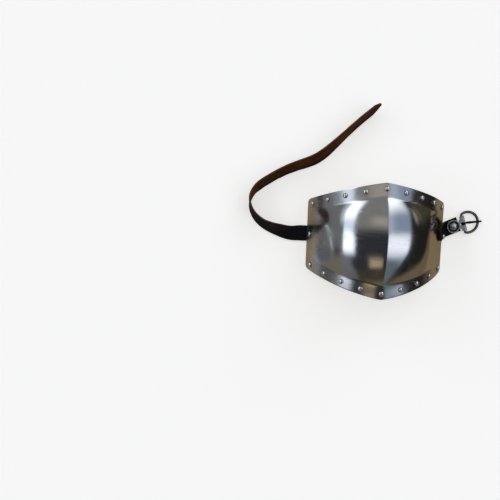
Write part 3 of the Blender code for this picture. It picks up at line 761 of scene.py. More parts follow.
# ---- The cop's surface ----
@dataclass(frozen=True)
class CopSurface:
    """The outside of the cop, by girth (over the steel, + to the right) and place along the arm."""

    steel: float = 1.2 * MM
    half_girth: float = 112.5 * MM
    ridge_slope: float = math.radians(3.0)
    side_slope: float = math.radians(61.8)
    slope_power: float = 0.75
    peak_reach: float = 70.9 * MM
    corner_reach: float = 43.7 * MM
    edge_power: float = 1.2
    corner_radius: float = 5.0 * MM
    flange: float = 17.0 * MM
    top_flare: float = math.radians(8.0)        # fall of the top flange away from the dome
    bottom_flare: float = math.radians(6.2)     # the same of the bottom one
    dome_rise: float = 10.5 * MM
    dome_shoulder: float = 46.0 * MM
    dome_half_girth: float = 100.0 * MM
    keel_rise: float = 2.5 * MM
    keel_reach: float = 17.0 * MM
    top_fall_power: float = 2.8
    bottom_fall_power: float = 2.4
    crease_softness: float = 0.05       # rounding of the crease, as a share of the dome's fall
    left_edge_lift: float = 3.6 * MM    # the left side edge lies on its strap
    centre: tuple[float, float] = (12.69 * MM, -47.63 * MM)
    curve_steps: int = 4000
    dent_wave: float = 24.0 * MM
    dent_seed: int = 5
    dent_fade: float = 12.0 * MM        # over which the dents die out towards the side edges

    def slope(self, girth: Array) -> Array:
        """Slope of the flange's curve: it grows as a power of the girth's share."""
        share = (np.abs(girth) / self.half_girth) ** self.slope_power
        return self.ridge_slope + (self.side_slope - self.ridge_slope) * share

    def curve(self) -> tuple[Array, Array, Array]:
        """The flange's curve: the cosine and the sine of its slope, summed by small steps.

        Returns:
            Girth, sideways distance and height of its points.
        """
        girth = np.linspace(0.0, self.half_girth, self.curve_steps)
        slope = self.slope(girth)
        middle = (slope[1:] + slope[:-1]) / 2
        across = np.concatenate([[0.0], np.cumsum(np.cos(middle) * girth[1])])
        fall = np.concatenate([[0.0], np.cumsum(np.sin(middle) * girth[1])])
        return girth, across, fall[-1] - fall

    def flange_points(self, girth: Array, along: Array, lift: Array) -> Array:
        """Points over the flange's curve, lifted along its normal.

        Args:
            girth: signed distance over the steel from the ridge.
            along: place along the arm.
            lift: distance out of the flange's curve.

        Returns:
            Points in the plate's own frame.
        """
        table, across, height = self.curve()
        slope = self.slope(girth)
        sideways = np.interp(np.abs(girth), table, across) + lift * np.sin(slope)
        upward = np.interp(np.abs(girth), table, height) + lift * np.cos(slope)
        return np.stack([np.sign(girth) * sideways, along + 0 * girth, upward], axis=-1)

    def edge_reach(self, girth: Array) -> Array:
        """Distance from the middle to the top or bottom edge: a power law, peak to corner."""
        share = (np.abs(girth) / self.half_girth) ** self.edge_power
        return self.corner_reach + (self.peak_reach - self.corner_reach) * (1 - share)

    def corner_loss(self, girth: Array) -> Array:
        """What a rounded corner takes off the edge."""
        into = np.abs(girth) - (self.half_girth - self.corner_radius)
        return rounded_off(into, self.corner_radius)

    def flare(self, girth: Array, along: Array) -> Array:
        """Fall of a flange per distance from the crease: full at the ridge, none at the sides.

        It follows the cosine of the slope, less that at the side edges.

        Args:
            girth: signed distance over the steel from the ridge.
            along: place along the arm, positive on the top flange.

        Returns:
            The fall, as a tangent.
        """
        side = math.cos(self.side_slope)
        full = np.where(along > 0, math.tan(self.top_flare), math.tan(self.bottom_flare))
        return full * (np.cos(self.slope(girth)) - side) / (1.0 - side)

    def dome_lift(self, girth: Array, row: Array) -> Array:
        """Lift of the dome out of the flange's curve; row is -1 and 1 at its creases.

        The dome rises straight up by rise * (1 - row^p), so the lift is that times the cosine of
        the slope, and a smooth step takes it down between the shoulder and the half girth.  The
        creases are softened by holding 1 - row^p above zero with (x + sqrt(x^2 + s^2)) / 2.

        Args:
            girth: signed distance over the steel from the ridge.
            row: place along the arm, as a share of the crease's.

        Returns:
            The lift along the curve's normal.
        """
        share = (np.abs(girth) - self.dome_shoulder) / (self.dome_half_girth - self.dome_shoulder)
        sideways = np.cos(self.slope(girth)) * (1 - eased(share))
        power = np.where(row > 0, self.top_fall_power, self.bottom_fall_power)
        lengthways = 1 - np.abs(row) ** power
        softened = (lengthways + np.sqrt(lengthways ** 2 + self.crease_softness ** 2)) / 2
        keel = self.keel_rise * np.exp(-np.abs(girth) / self.keel_reach)
        return (self.dome_rise * sideways + keel) * softened

    def points(self, girth: Array, row: Array, dents: float = 0.0) -> Array:
        """Points on the outside: rows -1 to 1 cross the dome and 1 to 2 the flange.

        Args:
            girth: (columns, 1) girths.
            row: (1, rows) rows.
            dents: spread of the hand-raised unevenness.

        Returns:
            A (columns, rows, 3) grid in the plate's own frame.
        """
        along, crease = self.along(girth, row)
        lift = self.dome_lift(girth, along / crease)
        dented = np.clip((2.0 - np.abs(row)) / 0.6, 0.0, 1.0)
        dented = dented * np.clip((self.half_girth - np.abs(girth)) / self.dent_fade, 0.0, 1.0)
        lift = lift + dents * waviness(girth, along, self.dent_wave, self.dent_seed) * dented
        lift = lift - self.flare(girth, along) * np.maximum(0.0, np.abs(along) - crease)
        return self.flange_points(girth + 0 * row, along, lift)

    def along(self, girth: Array, row: Array) -> tuple[Array, Array]:
        """Place of each row, in even shares of the dome and of the flange.

        Args:
            girth: (columns, 1) girths.
            row: (1, rows) rows.

        Returns:
            Place along the arm of each point, and the distance of the crease from the middle.
        """
        crease = self.edge_reach(girth) - self.flange
        outer = self.edge_reach(girth) - self.corner_loss(girth)
        on_flange = crease + (outer - crease) * (np.abs(row) - 1.0)
        return np.sign(row) * np.where(np.abs(row) <= 1.0, np.abs(row) * crease, on_flange), crease

    def half_width(self) -> float:
        """Half of the width between the side edges."""
        return float(self.curve()[1][-1])

    def roll(self) -> float:
        """How far the plate leans, with its left side edge on the strap."""
        return math.asin(self.left_edge_lift / (2 * self.half_width()))

    def lie(self) -> Array:
        """Lean of the plate about the rim of its right side edge.

        Returns:
            Matrix from the plate's own frame to the table.
        """
        rim_drop = self.steel * math.cos(self.side_slope)
        half = self.half_width()
        return shift(half, 0.0, rim_drop) @ turn(self.roll(), "Y") @ shift(-half, 0.0, 0.0)

    def place(self) -> Array:
        """Matrix from the plate's own frame to the part's frame."""
        return shift(*self.centre, 0.0) @ self.lie()

    def standing(self, girth: float, along: float) -> Array:
        """Place of a piece that stands on a flange or a wing, square to its surface.

        Args:
            girth: signed distance over the steel from the ridge.
            along: place along the arm.

        Returns:
            Matrix to the plate's own frame, whose Z runs out of the steel.
        """
        tilt = math.copysign(float(self.slope(np.float64(girth))), girth)
        crease = float(self.edge_reach(np.float64(girth))) - self.flange
        fall = float(self.flare(np.float64(girth), np.float64(along)))
        fall = fall if abs(along) > crease else 0.0
        lift = -fall * (abs(along) - crease)
        foot = self.flange_points(np.float64(girth), np.float64(along), np.float64(lift))
        lean = turn(tilt if abs(girth) > MM else 0.0, "Y")
        return shift(*foot) @ lean @ turn(-math.copysign(math.atan(fall), along), "X")


COP = CopSurface()


# ---- Straps ----
class Fold:
    """Section of a strap that comes down a wing and turns out over the table.

    Distances along the section count from the middle of the bend, negative up the wing.  The
    section is a line up the wing, an arc, and a level line, all in the plane of X and Z.
    """

    SEARCH = (-6.0 * MM, 20.0 * MM)         # where the arc may start, up from the side edge
    CLOSE_ENOUGH = 0.001 * MM

    def __init__(self, wing: Wing, lift: float, radius: float, level: float) -> None:
        """Find where the arc meets both the wing and the level line.

        Args:
            wing: the wing it comes down.
            lift: its middle line over the outside of the steel, negative inside.
            radius: radius of the bend at the middle line.
            level: height of the middle line over the table.
        """
        self.wing = wing
        self.lift = lift
        self.radius = radius
        low, high = self.SEARCH
        while high - low > self.CLOSE_ENOUGH:
            self.start = (low + high) / 2
            girth = COP.half_girth - max(0.0, self.start)
            self.slope = float(COP.slope(np.float64(girth))) + wing.value * COP.roll()
            self.centre = self._up_wing(np.array([self.start]), lift + radius)[0]
            if self.centre[2] - radius < level:
                low = self.start
            else:
                high = self.start
        self.half_arc = self.slope * radius / 2

    def _up_wing(self, distance: Array, lift: float) -> Array:
        """Points over a wing, which runs straight on beyond its side edge.

        Args:
            distance: distance up from the side edge, negative beyond it.
            lift: distance out of the steel.

        Returns:
            The points, on the table but from the middle of the plate.
        """
        side = self.wing.value
        girth = COP.half_girth - np.maximum(0.0, distance)
        beyond = np.maximum(0.0, -distance)
        slope = COP.slope(girth)
        points = COP.flange_points(side * girth, np.zeros_like(girth), np.full_like(girth, lift))
        points[:, 0] += side * beyond * np.cos(slope)
        points[:, 2] -= beyond * np.sin(slope)
        return carried(points, COP.lie())

    def points(self, distance: Array) -> Array:
        """Points of the strap's middle line.

        Args:
            distance: distances along the section.

        Returns:
            Points in the plane of X and Z, from the middle of the plate.
        """
        up = self._up_wing(np.maximum(self.start - distance - self.half_arc, self.start), self.lift)
        bend = np.clip(self.slope / 2 - distance / self.radius, 0.0, self.slope)
        straight = np.maximum(0.0, distance - self.half_arc)
        out = straight - self.radius * np.sin(bend)
        offset = np.stack([self.wing.value * out, 0 * out, -self.radius * np.cos(bend)], axis=-1)
        return np.where((distance < -self.half_arc)[:, None], up, self.centre + offset)

    def distance_up_wing(self, up_wing: float) -> float:
        """Distance along the section of a point on the wing."""
        return self.start - self.half_arc - up_wing

    def distance_out(self, x: float) -> float:
        """Distance along the section of a point over the table."""
        return self.half_arc + abs(x - float(self.centre[0]))


def natural_spline(table: Array, where: Array) -> Array:
    """Natural cubic spline through the rows of a table, by the length of its chords.

    Between two knots the value is (bend0 b^3 + bend1 a^3) / 6w + (y0/w - bend0 w/6) b
    + (y1/w - bend1 w/6) a, with a and b the distances to the knots and w their gap.

    Args:
        table: (knots, values), of which the first three are a point.
        where: shares of the whole length, from 0 to 1.

    Returns:
        (len(where), values).
    """
    knots = lengths(table)
    gaps = np.diff(knots)
    slopes = np.diff(table, axis=0) / gaps[:, None]
    system = np.eye(len(knots))
    inner = np.arange(1, len(knots) - 1)
    system[inner, inner - 1] = gaps[:-1]
    system[inner, inner] = 2 * (gaps[:-1] + gaps[1:])
    system[inner, inner + 1] = gaps[1:]
    right = np.zeros_like(table)
    right[1:-1] = 6 * np.diff(slopes, axis=0)
    bend = np.linalg.solve(system, right)
    at = np.asarray(where) * knots[-1]
    span = np.clip(np.searchsorted(knots, at, side="right") - 1, 0, len(gaps) - 1)
    width = gaps[span][:, None]
    after = (at - knots[span])[:, None]
    before = width - after
    return (bend[span] * before ** 3 / (6 * width) + bend[span + 1] * after ** 3 / (6 * width)
            + (table[span] / width - bend[span] * width / 6) * before
            + (table[span + 1] / width - bend[span + 1] * width / 6) * after)


@dataclass(frozen=True)
class BeltSection:
    """Cross-section of a flat strip: two faces and two rounded edges."""

    thickness: float
    edge: float                     # how far the rounding of an edge reaches in
    end: float                      # how far the rounding of an end reaches in
    face_steps: int = 16
    edge_steps: int = 7
    end_steps: int = 4
    end_thickness: float = 0.35     # thickness left at the very end, as a share

    def around(self) -> tuple[Array, Array, Array, Array]:
        """The section once round, over the outer face first.

        Returns:
            Share of the width (1 is the upper side), reach past it as a share of the edge,
            height as a share of half the thickness, and 1 on the edges.
        """
        face = np.linspace(1.0, -1.0, self.face_steps)
        arc = np.linspace(0.0, math.pi, self.edge_steps + 2)[1:-1]
        share = np.concatenate([face, np.full(self.edge_steps, -1.0), -face,
                                np.full(self.edge_steps, 1.0)])
        reach = np.concatenate([0 * face, -np.sin(arc), 0 * face, np.sin(arc)])
        height = np.concatenate([0 * face + 1, np.cos(arc), 0 * face - 1, -np.cos(arc)])
        edge = np.concatenate([0 * face, np.sin(arc), 0 * face, np.sin(arc)])
        return share, reach, height, edge

    def grid(self, upper: Array, lower: Array, travelled: Array, place: Callable) -> Grid:
        """Carry the section along a strip and round its two ends.

        Args:
            upper: reach of the upper side from the middle line, at each station.
            lower: the same for the lower side.
            travelled: distance of each station along the strip.
            place: function of (travelled, sideways, lift) arrays that gives points.

        Returns:
            The closed strip, with its surface map and the marks flesh, edge and lower.
        """
        arc = np.linspace(math.pi / 2, 0.0, self.end_steps + 1)[:-1]
        first = travelled[0] + self.end * (1 - np.sin(arc))
        last = travelled[-1] - self.end * (1 - np.sin(arc[::-1]))
        keep = (travelled > first[-1] + 1e-6) & (travelled < last[0] - 1e-6)
        stations = np.concatenate([first, travelled[keep], last])
        thin = np.concatenate([np.cos(arc), np.ones(keep.sum()), np.cos(arc[::-1])])
        thin = self.end_thickness + (1.0 - self.end_thickness) * thin
        upper = np.interp(stations, travelled, upper)
        lower = np.interp(stations, travelled, lower)
        middle, half = (upper - lower) / 2, (upper + lower) / 2
        edge = np.minimum(self.edge, 0.45 * half)
        share, reach, height, on_edge = self.around()
        sideways = (middle[:, None] + (half - edge)[:, None] * share
                    + edge[:, None] * reach * (0.4 + 0.6 * thin[:, None]))
        lift = thin[:, None] * height * self.thickness / 2
        along = stations[:, None] + 0 * sideways
        points = place(along, sideways, lift)
        girth = np.concatenate([[0.0], np.cumsum(np.hypot(
            np.diff(share * (upper.max() - self.edge) + reach * self.edge),
            np.diff(height * self.thickness / 2)))])
        surface = np.stack([girth[None, :] + 0 * along, along], axis=-1)
        marks = {"flesh": (1 - height) / 2, "edge": on_edge, "lower": (1 - share) / 2}
        marks = {name: np.broadcast_to(mark, along.shape).copy() for name, mark in marks.items()}
        return Grid(points, around=True, surface=surface, marks=marks)


# ---- Sub-assemblies ----
@dataclass(frozen=True)
class CopPlate:
    """The hollow steel cop."""

    finish: PolishedSteel = PolishedSteel()
    straight_columns: int = 210
    ridge_columns: tuple[float, ...] = (-0.9 * MM, -0.25 * MM, 0.25 * MM, 0.9 * MM)
    ridge_gap: float = 1.3 * MM         # even columns nearer to the ridge give way to those
    corner_columns: int = 7
    dome_rows: int = 116
    flange_rows: int = 13
    crowding: float = 0.35              # share of a sine in the rows of the dome
    dents: float = 0.055 * MM
    satin_from: float = 86.0 * MM       # girth at which the duller polish of the wings begins
    satin_fade: float = 12.0 * MM
    wing_satin: float = 2.0             # how much duller the wings are than the flanges
    filed_edge: float = 0.3 * MM
    filed_angle: float = math.radians(60.0)

    def columns(self) -> Array:
        """Girths of the grid: even, closer at the ridge, and by a sine in the rounded corners.

        Returns:
            The girths, from the left side edge to the right one.
        """
        straight = COP.half_girth - COP.corner_radius
        angle = np.linspace(0, math.pi / 2, self.corner_columns + 1)[1:]
        corner = straight + COP.corner_radius * np.sin(angle)
        middle = np.linspace(-straight, straight, self.straight_columns)
        middle = np.sort(np.append(middle[np.abs(middle) > self.ridge_gap], self.ridge_columns))
        return np.concatenate([-corner[::-1], middle, corner])

    def rows(self) -> Array:
        """Rows of the grid, closer together at the creases of the dome.

        Returns:
            The rows, from -2 at the bottom edge to 2 at the top one.
        """
        even = np.linspace(-1.0, 1.0, self.dome_rows)
        dome = (1 - self.crowding) * even + self.crowding * np.sin(even * math.pi / 2)
        flange = 1.0 + np.linspace(0.0, 1.0, self.flange_rows + 1)[1:]
        return np.concatenate([-flange[::-1], dome, flange])

    def build(self) -> bpy.types.Object:
        """Shape the outside, give it the sheet's thickness, and file its edges.

        Returns:
            The piece.
        """
        girth = self.columns()[:, None]
        row = self.rows()[None, :]
        along, _ = COP.along(girth, row)
        points = carried(COP.points(girth, row, self.dents), COP.place())
        surface = np.stack([girth + 0 * row, along], axis=-1)
        flange = np.clip((np.abs(row) - 1.0) / 0.1, 0.0, 1.0)
        wing = np.clip((np.abs(girth) - self.satin_from) / self.satin_fade, 0.0, 1.0)
        marks = {"satin": flange + self.wing_satin * wing}
        mesh = Grid(points, surface=surface, marks=marks).mesh("cop_plate")
        mesh = finished(
            mesh,
            ("SOLIDIFY", {"thickness": COP.steel, "offset": -1.0, "use_even_offset": True}),
            ("BEVEL", {"width": self.filed_edge, "segments": 2, "limit_method": "ANGLE",
                       "angle_limit": self.filed_angle}))
        return add_piece(mesh, Body.COUTER, self.finish.paint(), ["couter_plate"])


@dataclass(frozen=True)
class Rivet:
    """A hand-set rivet: a domed head outside and a peened tail inside."""

    head_radius: float = 3.2 * MM
    head_height: float = 2.1 * MM
    shank_radius: float = 1.5 * MM
    tail_radius: float = 2.4 * MM
    tail_height: float = 0.8 * MM
    seat: float = GAP                   # height of the head's underside over the steel
    grip: float = COP.steel + GAP       # depth of the tail's upper side
    knock: float = 0.05 * MM
    knock_wave: float = 4.0 * MM
    steps: int = 36

    def profile(self) -> tuple[Array, Array]:
        """Radius and height from the crown of the head to the middle of the tail.

        The head is a flattened quarter ellipse, a little fuller at its shoulder, with a rounded
        rim; the tail a low pad with rounded edges.

        Returns:
            The points, and a mark that is 1 where grime and painted shade darken the rivet: it
            rises over the head's lower flank and stays 1 from the seat down.
        """
        angle = np.radians(np.concatenate([[3.0], np.linspace(10, 90, 11)]))
        head = np.column_stack([self.head_radius * np.sin(angle) ** 0.92,
                                self.seat + self.head_height * np.cos(angle) ** 0.94])
        rest = np.array([
            (self.head_radius - 0.25 * MM, self.seat - 0.02 * MM),
            (self.shank_radius, self.seat),
            (self.shank_radius, -self.grip),
            (self.tail_radius - 0.15 * MM, -self.grip),
            (self.tail_radius, -self.grip - 0.25 * self.tail_height),
            (self.tail_radius - 0.12 * MM, -self.grip - 0.8 * self.tail_height),
            (self.tail_radius - 0.5 * MM, -self.grip - self.tail_height),
            (0.2 * MM, -self.grip - self.tail_height),
        ])
        # grime and painted shade: 0 on the crown, rising from 55 degrees down the flank, 1 from the
        # seat down
        shade_and_grime = np.concatenate([np.clip((np.degrees(angle) - 55) / 35, 0, 1) ** 2,
                                np.ones(len(rest))])
        return np.vstack([head, rest]), shade_and_grime

    def mesh(self, name: str, place: Array, seed: int) -> bpy.types.Mesh:
        """Turn the rivet at its place, its head knocked a little uneven.

        Args:
            name: the mesh's name.
            place: matrix whose Z runs out of the work.
            seed: number that fixes the unevenness.

        Returns:
            The mesh.
        """
        profile, shade_and_grime = self.profile()
        points = turned(profile, self.steps)
        on_head = np.clip((points[..., 2] - self.seat) / self.head_height, 0, 1)
        knock = waviness(points[..., 0], points[..., 1], self.knock_wave, seed, 9)
        points[..., 2] += self.knock * knock * on_head
        return Grid(carried(points, place), around=True,
                    marks={"seat": np.repeat(shade_and_grime[:, None], self.steps, axis=1)}).mesh(name)


@dataclass(frozen=True)
class BorderRivets:
    """The rivets along the top and bottom edges."""

    finish: RivetSteel = RivetSteel()
    rivet: Rivet = Rivet()
    per_edge: int = 9
    inset: float = 7.5 * MM
    side_inset: float = 9.5 * MM

    def build(self) -> list[bpy.types.Object]:
        """Set each rivet in its row.

        Returns:
            The pieces, the top row first.
        """
        material = self.finish.paint()
        last = COP.half_girth - self.side_inset
        pieces = []
        for row, sign in (("top", 1), ("bottom", -1)):
            for number, girth in enumerate(np.linspace(-last, last, self.per_edge), start=1):
                reach = float(COP.edge_reach(np.float64(girth))) - self.inset
                place = COP.place() @ COP.standing(float(girth), sign * reach)
                node = f"rivet_{row}_{number}"
                mesh = self.rivet.mesh(f"border_{node}", place, 17 * number + sign)
                pieces.append(add_piece(mesh, Body.COUTER, material, [node]))
        return pieces


@dataclass(frozen=True)
class StrapStock:
    """What the two straps share: how they are cut, and how uneven the leather is."""

    edge: float = 0.9 * MM              # reach of the rounding of the long edges
    end: float = 0.8 * MM               # the same at the ends
    corner: float = 4.0 * MM            # rounding of the corners of the riveted end
    rivet_up_wing: float = 6.2 * MM
    uneven_depth: float = 0.05 * MM
    uneven_wave: float = 9.0 * MM
    uneven_waves: int = 16

    def uneven(self, where: Array, sideways: Array, lift: Array, seed: int) -> Array:
        """Swell both faces of a strap a little.

        Args:
            where: distance along the strap.
            sideways: distance across it.
            lift: height over its middle, positive on the outer face.
            seed: number that fixes the swelling.

        Returns:
            The new lift.
        """
        wave = waviness(where, sideways, self.uneven_wave, seed, self.uneven_waves)
        return lift + self.uneven_depth * wave * np.sign(lift)


@dataclass(frozen=True)
class LongStrap(StrapStock):
    """The long strap, riveted inside the left wing and pointed at its free end."""

    width: float = 20.0 * MM
    thickness: float = 2.6 * MM
    end_up_wing: float = 14.0 * MM
    bend: float = 3.0 * MM
    tip_shift: float = 2.5 * MM
    tip_lengths: tuple[float, float] = (9.0 * MM, 15.0 * MM)
    tip_power: float = 0.8
    tip_blunting: float = 1.0 * MM
    station: float = 5.0 * MM
    wing_stations: int = 14
    run_out: float = 6.0 * MM
    lift: float = 0.06 * MM             # keeps its lower edge off the table
    fine_station: float = 1.3 * MM
    worn_depth: float = 0.10 * MM       # how far the edges are worn in
    worn_wave: float = 16.0 * MM
    worn_from: float = 7.0 * MM
    raw_from: float = 55.0 * MM         # where the cut edge begins to show brown
    raw_fade: float = 25.0 * MM
    raw_least: float = 0.25
    table_shade_from: float = 0.66           # share of the width, below which painted shade darkens the flesh and edge towards the table
    table_shade_fade: float = 0.22
    # strength of the painted table shade
    table_shade: float = 0.92
    seed_of_wear: int = 3
    seed_of_faces: int = 4
    route: tuple[tuple[float, float, float], ...] = (
        # x and y in mm from the middle of the plate, and the strap's roll in degrees
        (-97.0, 0.0, 0.0), (-108.5, 0.2, 18.0), (-121.7, 3.4, 34.0), (-134.4, 7.6, 47.5),
        (-146.1, 14.0, 58.5), (-155.0, 23.3, 71.0), (-160.0, 35.4, 86.0), (-157.9, 49.0, 106.0),
        (-149.2, 59.6, 120.0), (-138.3, 67.4, 122.5), (-122.5, 76.7, 123.5),
        (-100.6, 86.4, 127.5), (-80.0, 94.8, 129.5), (-62.8, 108.0, 124.0),
        (-46.3, 124.3, 116.0), (-28.7, 141.3, 113.5), (-11.4, 156.4, 113.5),
        (-1.8, 164.2, 113.5),
    )

    def line(self) -> Array:
        """Middle line and roll from the riveted end to the tip.

        Returns:
            (stations, 4) x, y, z from the middle of the plate, and the roll.
        """
        level = self.thickness / 2 + self.lift
        section = Fold(Wing.LEFT, -(COP.steel + GAP + self.thickness / 2), self.bend, level)
        start = section.distance_up_wing(self.end_up_wing)
        wing = section.points(np.linspace(start, self.run_out, self.wing_stations))
        wing = np.column_stack([wing, np.zeros(len(wing))])
        route = np.array(self.route)
        roll = np.radians(route[:, 2])
        height = (self.width * np.abs(np.sin(roll)) + self.thickness * np.abs(np.cos(roll))) / 2
        table = np.column_stack([route[:, 0] * MM, route[:, 1] * MM, height + self.lift, roll])
        count = round(lengths(table)[-1] / self.station)
        coarse = np.vstack([wing, natural_spline(table, np.linspace(0, 1, count))])
        fine = round(lengths(coarse)[-1] / self.fine_station)
        return natural_spline(coarse, np.linspace(0, 1, fine))

    def sides(self, from_start: Array, to_tip: Array) -> tuple[Array, Array]:
        """Reach of the strap to its upper and lower side: full, then a power law to the point.

        Args:
            from_start: distance from the riveted end.
            to_tip: distance to the tip.

        Returns:
            Upper and lower reach.
        """
        half = self.width / 2
        share_up, share_down = ((np.minimum(1.0, (to_tip + self.tip_blunting) / length))
                                ** self.tip_power for length in self.tip_lengths)
        loss = rounded_off(self.corner - from_start, self.corner)
        upper = self.tip_shift + (half - self.tip_shift) * share_up - loss
        lower = -self.tip_shift + (half + self.tip_shift) * share_down - loss
        return upper, lower

    def build(self, leather: bpy.types.Material) -> bpy.types.Object:
        """Carry the section along the line.

        Args:
            leather: the strap's finish.

        Returns:
            The piece.
        """
        line = self.line()
        travelled = lengths(line)
        tangent = unit(np.gradient(line[:, :3], axis=0))
        level = unit(np.column_stack([tangent[:, 1], -tangent[:, 0], 0 * tangent[:, 0]]))
        upward = np.cross(level, tangent)
        roll = line[:, 3:]
        across = np.cos(roll) * level + np.sin(roll) * upward
        grain = np.cross(across, tangent)

        def at(values: Array, where: Array) -> Array:
            """Read the rows of a table of vectors between the stations."""
            return np.stack([np.interp(where, travelled, values[:, axis]) for axis in range(3)],
                            axis=-1)

        def place(where: Array, sideways: Array, lift: Array) -> Array:
            """Carry the section along the line, with its edges worn in.

            Args:
                where: distance along the strap.
                sideways: distance across it, positive to its upper side.
                lift: distance out of its middle, positive to the grain.

            Returns:
                The points.
            """
            wear = waviness(where, 0 * where, self.worn_wave, self.seed_of_wear, 12)
            worn = self.worn_depth * np.minimum(0.0, wear)
            side = sideways + worn * np.sign(sideways) * (np.abs(sideways) > self.worn_from)
            lift = self.uneven(where, sideways, lift, self.seed_of_faces)
            points = (at(line, where) + side[..., None] * at(across, where)
                      + lift[..., None] * at(grain, where))
            return carried(points, shift(*COP.centre, 0.0))

        upper, lower = self.sides(travelled, travelled[-1] - travelled)
        section = BeltSection(self.thickness, self.edge, self.end)
        grid = section.grid(upper, lower, travelled, place)
        raw = np.clip((grid.surface[..., 1] - self.raw_from) / self.raw_fade, self.raw_least, 1.0)
        grid.marks["raw"] = raw
        # painted shade: flesh and edge darker towards the lower side, in the table's shadow
        low = (grid.marks.pop("lower") - self.table_shade_from) / self.table_shade_fade
        rough = np.maximum(grid.marks["flesh"], grid.marks["edge"])
        grid.marks["table_shade"] = self.table_shade * np.clip(low, 0.0, 1.0) * rough
        mesh = grid.mesh("strap_long")
        return add_piece(mesh, Body.COUTER, leather, ["long_strap"])


@dataclass(frozen=True)
class BuckleStrap(StrapStock):
    """The short strap on the outside of the right wing, which carries the buckle."""

    width: float = 19.0 * MM
    thickness: float = 2.8 * MM
    level: float = 1.3 * MM
    bend: float = 5.0 * MM
    heading: float = math.radians(24.0)
    behind: float = 28.0 * MM           # its reach behind the rosette
    ahead: float = 8.0 * MM
    rivet_offset: float = -5.6 * MM
    rosette: tuple[float, float] = (99.0 * MM, 15.0 * MM)
    station: float = 0.8 * MM
    raw: float = 0.15
    seed_of_faces: int = 8

    def fold(self) -> Fold:
        """Section of the strap down the wing and out over the table."""
        half = self.thickness / 2
        return Fold(Wing.RIGHT, GAP + half, self.bend, self.level + half)

    def rivet_along(self) -> float:
        """Place along the arm of its rivet, which sits beside its middle line.

        Returns:
            The place, from the middle of the plate.
        """
        section = self.fold()
        back = (section.distance_out(self.rosette[0])
                - section.distance_up_wing(self.rivet_up_wing))
        sine, cosine = math.sin(self.heading), math.cos(self.heading)
        distance = (self.rivet_offset * sine - back) / cosine
        return self.rosette[1] + distance * sine + self.rivet_offset * cosine

    def build(self, leather: bpy.types.Material) -> bpy.types.Object:
        """Lay the flat strip on the folded section.

        Args:
            leather: the strap's finish.

        Returns:
            The piece.
        """
        section = self.fold()
        rosette_out = section.distance_out(self.rosette[0])
        sine, cosine = math.sin(self.heading), math.cos(self.heading)
        travelled = np.arange(0.0, self.behind + self.ahead + self.station / 2, self.station)

        def place(where: Array, sideways: Array, lift: Array) -> Array:
            """Lay the flat strip on the section, whose fold it crosses askew.

            Args:
                where: distance along the strip from its riveted end.
                sideways: distance across it, positive to the right of its heading.
                lift: distance out of its middle, positive to the grain.

            Returns:
                The points.
            """
            distance = where - self.behind
            side = -sideways
            out = rosette_out + distance * cosine - side * sine
            along = self.rosette[1] + distance * sine + side * cosine
            flat = out.ravel()
            middle = section.points(flat)
            ahead, back = (section.points(flat + step) for step in (0.05 * MM, -0.05 * MM))
            direction = unit(ahead - back)
            normal = np.stack([-direction[:, 2], 0 * flat, direction[:, 0]], axis=-1)
            lift = self.uneven(where, sideways, lift, self.seed_of_faces)
            points = middle + lift.reshape(-1, 1) * normal
            points[:, 1] += along.ravel()
            return carried(points.reshape(*where.shape, 3), shift(*COP.centre, 0.0))

        half = self.width / 2 - rounded_off(self.corner - travelled, self.corner)
        strip = BeltSection(self.thickness, self.edge, self.end)
        grid = strip.grid(half, half, travelled, place)
        grid.marks["raw"] = np.full(grid.points.shape[:2], self.raw)
        mesh = grid.mesh("strap_buckle")
        return add_piece(mesh, Body.COUTER, leather, ["buckle_strap"])


@dataclass(frozen=True)
class StrapRivets:
    """The two rivets that hold the straps to the wings."""

    long_strap: LongStrap
    buckle_strap: BuckleStrap
    finish: RivetSteel = RivetSteel(name="steel_strap_rivet")

    def build(self) -> list[bpy.types.Object]:
        """Set both rivets, heads outward.

        Returns:
            The left one and the right one.
        """
        material = self.finish.paint()
        girth = COP.half_girth - self.long_strap.rivet_up_wing
        inside = Rivet(grip=COP.steel + 2 * GAP + self.long_strap.thickness)
        outside = Rivet(seat=self.buckle_strap.thickness + 2 * GAP)
        left = COP.place() @ COP.standing(-girth, 0.0)
        right = COP.place() @ COP.standing(girth, self.buckle_strap.rivet_along())
        return [
            add_piece(inside.mesh("rivet_of_long_strap", left, 71), Body.COUTER, material,
                      ["strap_rivet"]),
            add_piece(outside.mesh("rivet_of_buckle_strap", right, 72), Body.COUTER, material,
                      ["buckle_strap_rivet"]),
        ]


